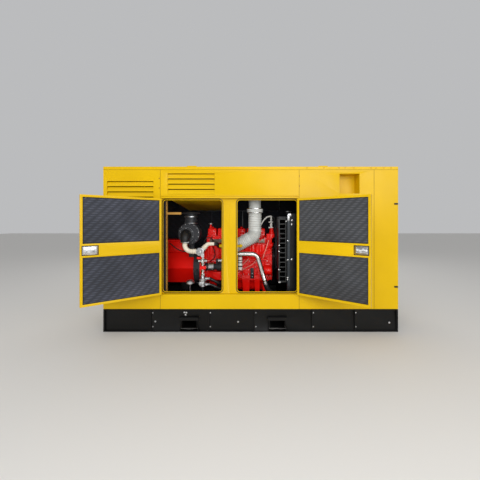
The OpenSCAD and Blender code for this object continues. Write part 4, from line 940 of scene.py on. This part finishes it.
def rocker_dressing():
    bm = bmesh.new()
    pitch = 147
    for k in range(6):
        x = -660 + (k + 0.5) * pitch
        w = pitch - 3
        add_box(bm, mm(x - w / 2, -132, 1190), mm(x + w / 2, 132, 1207), 3 * MM)
        body = add_box(bm, mm(x - w / 2 + 6, -122, 1206), mm(x + w / 2 - 6, 122, 1318))
        for v in body:
            if v.co.z > 1.30:
                v.co.x = x * MM + (v.co.x - x * MM) * 0.95
                v.co.y *= 0.80
        edges = list({e for v in body for e in v.link_edges})
        bmesh.ops.bevel(bm, geom=edges, offset=12 * MM, segments=4, profile=0.5, affect="EDGES", material=-1,
                        clamp_overlap=True)
        for dx in (-34, 0, 34):
            add_box(bm, mm(x + dx - 4, -96, 1314), mm(x + dx + 4, 96, 1325), 2.5 * MM)
        add_box(bm, mm(x - 42, -122.5, 1236), mm(x + 42, -108, 1286), 3 * MM)
        turned_mm(bm, [(0, 0), (0, 17), (8, 19), (20, 19), (24, 12), (24, 0)], mm(x, -30, 1320), (0, 0, 1),
                  20)
    # Breather on the first cover
    turned_mm(bm, [(0, 0), (0, 22), (14, 22), (18, 15), (52, 13), (56, 16), (66, 16), (66, 0)],
              mm(-612, -70, 1316), (0, 0, 1), 24)
    finish_mesh("rocker_tops", bm, "enclosure", engine_enamel, smooth=42,
                replaces=("rocker_covers",))
    bm = bmesh.new()
    turned_mm(bm, [(0, 0), (0, 30), (4, 33), (16, 33), (20, 28), (20, 0)], mm(-612, -70, 1380), (0, 0, 1), 28)
    for k in range(6):
        x = -660 + (k + 0.5) * pitch
        for dx, dy in ((-60, -126), (60, -126), (0, -127)):
            add_rod(bm, mm(x + dx, dy, 1206), mm(x + dx, dy, 1214), 6.5 * MM, sides=6, bevel=1 * MM)
    finish_mesh("rocker_bolts", bm, "enclosure", zinc_plate, smooth=30)


rocker_dressing()


def block_dressing():
    red = bmesh.new()
    bright = bmesh.new()
    dark = bmesh.new()
    for k in range(6):
        x = -660 + (k + 0.5) * 153.7
        turned_mm(red, [(0, 0), (0, 34), (6, 34), (8, 30), (14, 28), (14, 0)], mm(x, -200, 788), (0, -1, 0),
                  24)
        turned_mm(red, [(0, 0), (0, 20), (12, 20), (14, 15), (26, 14), (26, 0)], mm(x + 30, -222, 950),
                  (0, -1, 0), 18)
        add_rod(red, mm(x - 44, -205, 1080), mm(x - 38, -232, 900), 9 * MM, sides=12)
        add_rod(bright, mm(x + 52, -222, 842), mm(x + 52, -229, 842), 6 * MM, sides=6, bevel=1 * MM)
        add_rod(bright, mm(x - 52, -222, 842), mm(x - 52, -229, 842), 6 * MM, sides=6, bevel=1 * MM)
        add_rod(dark, mm(x, -186, 1166), mm(x + 8, -200, 1200), 7 * MM, sides=10)
        for dz in (-24, 24):
            add_rod(bright, mm(x - 36, -186, 1139 + dz), mm(x - 36, -193, 1139 + dz), 6 * MM, sides=6)
    # Cast ribs and pads on the crankcase
    for x in (-560, -430, -300, -170, -40, 90, 220):
        add_box(red, mm(x - 6, -226, 590), mm(x + 6, -198, 836), 4 * MM)
    for x0, x1, z0, z1 in ((-120, -20, 640, 730), (60, 150, 745, 830), (150, 236, 600, 700),
                           (-260, -160, 600, 690)):
        add_box(red, mm(x0, -236, z0), mm(x1, -198, z1), 7 * MM, 3)
        for dx in (12, x1 - x0 - 12):
            for dz in (12, z1 - z0 - 12):
                add_rod(bright, mm(x0 + dx, -236, z0 + dz), mm(x0 + dx, -242, z0 + dz), 5 * MM, sides=6)
    add_rod(red, mm(-200, -246, 868), mm(236, -246, 868), 13 * MM, sides=16)
    for x in (-190, -60, 80, 225):
        add_box(red, mm(x - 8, -252, 856), mm(x + 8, -198, 880), 3 * MM)
    # Charging generator low at the front of the engine
    turned_mm(red, [(0, 0), (0, 52), (6, 64), (18, 70), (60, 70), (62, 66), (74, 66), (76, 70), (112, 70),
                    (124, 62),
                    (130, 40), (130, 0)], mm(178, -266, 712), (1, 0, 0), 32)
    for a in range(10):
        t = math.tau * a / 10
        add_box(dark, mm(300, -266 + 50 * math.cos(t) - 5, 712 + 50 * math.sin(t) - 5),
                mm(309, -266 + 50 * math.cos(t) + 5, 712 + 50 * math.sin(t) + 5), 2 * MM)
    add_box(red, mm(196, -232, 770), mm(290, -196, 800), 5 * MM)
    add_box(red, mm(196, -240, 636), mm(290, -196, 656), 5 * MM)
    # Elbow and pump body under the thermostat
    turned_mm(red, [(0, 0), (0, 40), (10, 46), (50, 46), (58, 40), (90, 38), (90, 0)], mm(262, -232, 985),
              (0, 1, 0), 28)
    turned_mm(red, [(0, 34), (30, 34), (34, 40), (44, 40), (44, 0)], mm(300, -150, 1060), (0, 0, 1), 24)
    add_rod(red, mm(262, -214, 985), mm(300, -150, 1075), 30 * MM, sides=20)
    # Dark cover between the two front legs
    add_box(dark, mm(-6, -226, 566), mm(44, -198, 738), 4 * MM)
    for z in (657, 612):
        add_rod(bright, mm(20, -226, z), mm(20, -234, z), 9 * MM, sides=6, bevel=1.5 * MM)
    finish_mesh("block_castings", red, "enclosure", engine_enamel, smooth=40)
    finish_mesh("block_bolts", bright, "enclosure", zinc_plate, smooth=30)
    finish_mesh("block_dark_parts", dark, "enclosure", dark_iron, smooth=35)


block_dressing()


def starter_dressing():
    y, z = -286, 770
    bm = bmesh.new()
    turned_mm(bm, [(0, 46), (0, 60), (6, 63), (14, 63), (16, 60.5), (24, 60.5), (26, 63), (34, 63),
                   (36, 60.5), (44, 60.5),
                   (46, 63), (54, 63), (56, 60.5), (76, 60.5), (78, 50)], mm(-612, y, z), (1, 0, 0), 36)
    turned_mm(bm, [(0, 0), (0, 24), (3, 29.5), (16, 29.5), (18, 26), (18, 0)], mm(-372, y - 20, z + 92),
              (1, 0, 0), 24)
    turned_mm(bm, [(0, 28.2), (0, 29.8), (60, 29.8), (60, 28.2)], mm(-470, y - 20, z + 92), (1, 0, 0), 24)
    add_rod(bm, mm(-356, y - 20, z + 104), mm(-336, y - 20, z + 104), 6 * MM, sides=6)
    add_rod(bm, mm(-356, y - 20, z + 82), mm(-336, y - 20, z + 82), 6 * MM, sides=6)
    finish_mesh("starter_sleeve", bm, "enclosure", cast_alloy, smooth=35)
    bm = bmesh.new()
    turned_mm(bm, [(0, 60.2), (0, 62), (10, 62), (10, 60.2)], mm(-470, y, z), (1, 0, 0), 36)
    turned_mm(bm, [(0, 60.2), (0, 62), (10, 62), (10, 60.2)], mm(-330, y, z), (1, 0, 0), 36)
    finish_mesh("starter_bands", bm, "enclosure", epdm_rubber, smooth=35)


starter_dressing()


def banded_filter():
    """Oil filter behind the pillar, in alternate pale and dark bands, on its bracket."""
    bm = bmesh.new()
    x, y = -150, -392
    turned_mm(bm, [(0, 0), (0, 26), (6, 30), (190, 30), (196, 26), (196, 0)], mm(x, y, 744), (0, 0, 1), 32)
    finish_mesh("filter_can", bm, "enclosure", white_enamel, smooth=35)
    bm = bmesh.new()
    for z, h in ((784, 18), (838, 12), (874, 12), (926, 14)):
        turned_mm(bm, [(0, 30.1), (0, 32), (h, 32), (h, 30.1)], mm(x, y, z), (0, 0, 1), 32)
    add_rod(bm, mm(x, y, 868), mm(x, -222, 868), 14 * MM, sides=16)
    finish_mesh("filter_bands", bm, "enclosure", coated_black, smooth=35)


banded_filter()


def run(name, points, r, material):
    return tube_curve(name, [tuple(p) for p in points], r * MM, "enclosure", material, sides=3)


def small_lines():
    """Small pipes and leads clipped to the engine at both ends."""
    run("yellow_gas_pipe", [mm(-432, -478, 1086), mm(-400, -478, 1086), mm(-250, -478, 1085),
                            mm(-140, -476, 1085),
                            mm(-132, -470, 1085), mm(-132, -440, 1085)], 20, canopy_paint)
    bm = bmesh.new()
    for x in (-430, -404, -150):
        add_rod(bm, mm(x, -478, 1086), mm(x + 14, -478, 1086), 25 * MM, sides=6, bevel=2 * MM)
    add_rod(bm, mm(-290, -478, 1086), mm(-290, -436, 1082), 9 * MM, sides=12)
    finish_mesh("yellow_pipe_nuts", bm, "enclosure", canopy_paint, smooth=35)
    run("cable_droop", [mm(-1160, -330, 1110), mm(-1120, -338, 1085), mm(-1070, -345, 1040),
                        mm(-1000, -348, 1004),
                        mm(-930, -348, 992), mm(-860, -342, 994), mm(-800, -334, 1010), mm(-772, -300, 1034),
                        mm(-764, -262, 1040),
                        mm(-764, -240, 1000), mm(-764, -210, 925)], 7, gloss_hose)
    run("cable_loop", [mm(-668, -300, 990), mm(-672, -330, 1060), mm(-668, -345, 1130), mm(-640, -345, 1180),
                       mm(-600, -335, 1196), mm(-562, -320, 1180), mm(-548, -290, 1150), mm(-546, -250, 1120),
                       mm(-546, -214, 1100)], 7, gloss_hose)
    run("ring_cable", [mm(-560, -222, 1050), mm(-540, -262, 1030), mm(-522, -268, 980), mm(-520, -268, 930),
                       mm(-540, -266, 880), mm(-580, -262, 850), mm(-600, -240, 840), mm(-606, -205, 840)],
        6, gloss_hose)
    # White vent hose from behind the wrap to the fitting stack
    run("vent_hose", [mm(120, -118, 1310), mm(140, -119, 1352), mm(165, -120, 1402), mm(205, -121, 1458),
                      mm(245, -121, 1492), mm(280, -120, 1503), mm(306, -120, 1503)], 11, white_enamel)
    run("side_vent_line", [mm(340, -120, 1230), mm(352, -128, 1300), mm(356, -130, 1380), mm(352, -128, 1450),
                           mm(338, -122, 1496), mm(316, -120, 1500)], 6, gloss_hose)
    # The pink lines are red pipes lightened as painted highlight; the red lines keep the enamel colour
    lines = (
        ("pink_line_a", [(262, -232, 1150), (252, -262, 1120), (226, -270, 1040), (196, -268, 960),
                         (180, -250, 900),
                         (172, -222, 868)], 6, red_line_painted_highlight, "pipe_steel"),
        ("pink_line_b", [(-175, -222, 745), (-160, -262, 752), (-110, -268, 800), (-50, -268, 862),
                         (-34, -250, 880),
                         (-30, -205, 886)], 6, red_line_painted_highlight, "pipe_steel"),
        ("pink_line_c", [(-180, -222, 690), (-160, -256, 694), (-80, -262, 742), (20, -264, 796),
                         (62, -262, 836),
                         (70, -230, 850)], 5, red_line_painted_highlight, "pipe_steel"),
        ("red_line_a", [(-160, -222, 1000), (-110, -262, 960), (-50, -268, 915), (0, -240, 880)], 8,
         engine_enamel, "engine_red"),
        ("red_line_b", [(-20, -222, 1004), (-60, -262, 960), (-110, -266, 915), (-150, -240, 880)], 8,
         engine_enamel, "engine_red"),
        ("red_line_c", [(-90, -210, 1040), (-84, -262, 1000), (-80, -268, 930), (-70, -240, 880)], 8,
         engine_enamel, "engine_red"),
        ("red_line_d", [(80, -210, 1056), (110, -240, 1120), (150, -250, 1166), (190, -230, 1200),
                        (210, -150, 1210)], 9,
         engine_enamel, "engine_red"),
        ("red_line_e", [(120, -210, 900), (150, -262, 930), (200, -268, 984), (246, -252, 1016)], 10,
         engine_enamel, "engine_red"),
    )
    for name, points, r, material, slot in lines:
        run(name, [mm(*p) for p in points], r, material)
    bm = bmesh.new()
    x, y = 306, -120
    turned_mm(bm, [(0, 0), (0, 26), (6, 26), (8, 16), (46, 16), (48, 22), (54, 22), (56, 13), (82, 13),
                   (84, 24), (96, 24),
                   (98, 12), (120, 12), (122, 18), (132, 18), (134, 11), (168, 11), (170, 15), (182, 15),
                   (186, 6), (186, 0)],
              mm(x, y, 1325), (0, 0, 1), 20)
    for z, reach in ((1333, 40), (1415, 38)):
        add_rod(bm, mm(x - reach, y, z), mm(x + reach * 0.7, y, z), 8 * MM, sides=12)
        add_rod(bm, mm(x - reach, y, z), mm(x - reach + 12, y, z), 12 * MM, sides=6, bevel=1.5 * MM)
        add_rod(bm, mm(x + reach * 0.7 - 12, y, z), mm(x + reach * 0.7, y, z), 12 * MM, sides=6,
                bevel=1.5 * MM)
    finish_mesh("vent_fittings", bm, "enclosure", white_enamel, smooth=35)


small_lines()


# Radiator dressing, with bolt places read off the photograph in pixels

RADIATOR_BOLTS_PX = ((292.4, 220.4), (292.1, 224.4), (286.8, 259.7), (292, 259.7), (287, 240.7),
                     (285.9, 277.5),
                     (287.5, 279.3))
SHROUD_BOLTS_PX = ((279.2, 245.4), (277.4, 251.4), (277.6, 269.7), (279.6, 284.5), (277.6, 287.6),
                   (286.6, 221.3))

def radiator_dressing():
    bm = bmesh.new()
    for px, py in RADIATOR_BOLTS_PX:
        place = seen(px, py, -0.5805)
        place.x = min(max(place.x, 0.498), 0.604)
        if place.x > 0.534:
            place.y = -0.5505
        bolt(bm, place, (0, -1, 0), 8 * MM)
    for px, py in SHROUD_BOLTS_PX:
        place = seen(px, py, -0.5205)
        place.x = min(max(place.x, 0.386), 0.484)
        place.z = max(place.z, 0.596)
        bolt(bm, place, (0, -1, 0), 7 * MM)
    finish_mesh("radiator_bolts", bm, "enclosure", bright_nickel, smooth=30)
    # A blue-grey strip over the post: painted highlight on the black radiator post
    bm = bmesh.new()
    add_box(bm, mm(494, -585, 562), mm(528, -579, 1526), 2 * MM)
    finish_mesh("radiator_post", bm, "enclosure", radiator_post_painted_highlight, smooth=30)
    bm = bmesh.new()
    for a, b in ((mm(492, -588, 1430), mm(524, -580, 1520)), (mm(500, -590, 1490), mm(548, -582, 1528))):
        add_box(bm, a, b, 3 * MM, 3)
    finish_mesh("radiator_bracket", bm, "enclosure", zinc_plate, smooth=35)
    # Shroud rails and rungs edged in lighter grey: painted highlight on the black shroud
    bm = bmesh.new()
    add_box(bm, mm(384, -524, 600), mm(394, -519, 1460), 1.5 * MM)
    add_box(bm, mm(470, -524, 600), mm(480, -519, 1460), 1.5 * MM)
    add_box(bm, mm(384, -524, 1450), mm(480, -519, 1460), 1.5 * MM)
    for k in range(13):
        z = 596 + 65 * k
        add_box(bm, mm(390, -523, z + 6), mm(474, -519, z + 12), 1.5 * MM)
    finish_mesh("shroud_edges", bm, "enclosure", shroud_edge_highlight, smooth=30)
    # Wire guard, round bars
    bm = bmesh.new()
    x = 368
    for r in range(120, 375, 25):
        ring = [(r - 3, 0), (r, 3), (r + 3, 0), (r, -3)]
        verts = [bm.verts.new((dx * MM, 0, rr * MM)) for rr, dx in ring]
        edges = [bm.edges.new((verts[i], verts[(i + 1) % 4])) for i in range(4)]
        bmesh.ops.spin(bm, geom=verts + edges, angle=math.tau, steps=72, use_merge=True, axis=(1, 0, 0),
                       cent=(0, 0, 0))
    bmesh.ops.remove_doubles(bm, verts=bm.verts, dist=1e-6)
    bmesh.ops.translate(bm, vec=mm(x, 0, 1040), verts=bm.verts)
    for a in range(0, 360, 30):
        t = math.radians(a)
        way = Vector((0, math.cos(t), math.sin(t)))
        add_rod(bm, mm(x - 2, 0, 1040) + way * 0.118, mm(x - 2, 0, 1040) + way * 0.372, 3 * MM, sides=8)
    for a in (45, 135, 225, 315):
        t = math.radians(a)
        way = Vector((0, math.cos(t), math.sin(t)))
        add_rod(bm, mm(x, 0, 1040) + way * 0.37, mm(x + 11, 0, 1040) + way * 0.414, 7 * MM, sides=8)
    finish_mesh("fan_wire_guard", bm, "enclosure", dark_iron, smooth=50, replaces=("fan_guard",))
    bm = bmesh.new()
    turned_mm(bm, [(0, 0), (0, 40), (4, 45), (14, 46), (18, 42), (20, 12), (20, 0)], mm(550, -200, 1559),
              (0, 0, 1), 28)
    finish_mesh("radiator_cap", bm, "enclosure", zinc_plate, smooth=35)


radiator_dressing()


# Floor, sky and lamps

def build_stage():
    bpy.ops.mesh.primitive_plane_add(size=60, location=(0, 0, 0))
    floor = bpy.context.object
    floor.name = "floor"
    material, tree, shader, place = new_material("pale_floor")
    shader.inputs["Base Color"].default_value = linear("#d6d4d0")
    shader.inputs["Roughness"].default_value = 0.7
    floor.data.materials.append(material)
    world = bpy.data.worlds.new("soft_sky")
    bpy.context.scene.world = world
    world.use_nodes = True
    world.node_tree.nodes["Background"].inputs["Color"].default_value = linear("#f4f5f7")
    world.node_tree.nodes["Background"].inputs["Strength"].default_value = 0.55


def add_lamp(name, place, aim, size, power, height=None, glossy=True):
    lamp = bpy.data.lights.new(name, "AREA")
    lamp.shape = "RECTANGLE"
    lamp.size = size
    lamp.size_y = height or size
    lamp.energy = power
    holder = bpy.data.objects.new(name, lamp)
    holder.location = place
    holder.rotation_euler = (Vector(aim) - Vector(place)).to_track_quat("-Z", "Y").to_euler()
    holder.visible_glossy = glossy
    bpy.context.scene.collection.objects.link(holder)


build_stage()
add_lamp("window_lamp", (2.3, -6.6, 3.0), (0.8, -0.7, 1.2), 5.4, 185, height=2.0)
add_lamp("high_lamp", (-1.8, -6.2, 4.6), (0, 0, 1.0), 4.0, 136, glossy=False)
add_lamp("low_lamp", (-0.2, -6.8, 1.7), (0, 0, 1.0), 3.0, 88, height=1.4, glossy=False)
add_lamp("rear_lamp", (0, 6.5, 5.0), (0, 0, 1.0), 4.0, 160)
bpy.context.scene.view_settings.view_transform = "Standard"
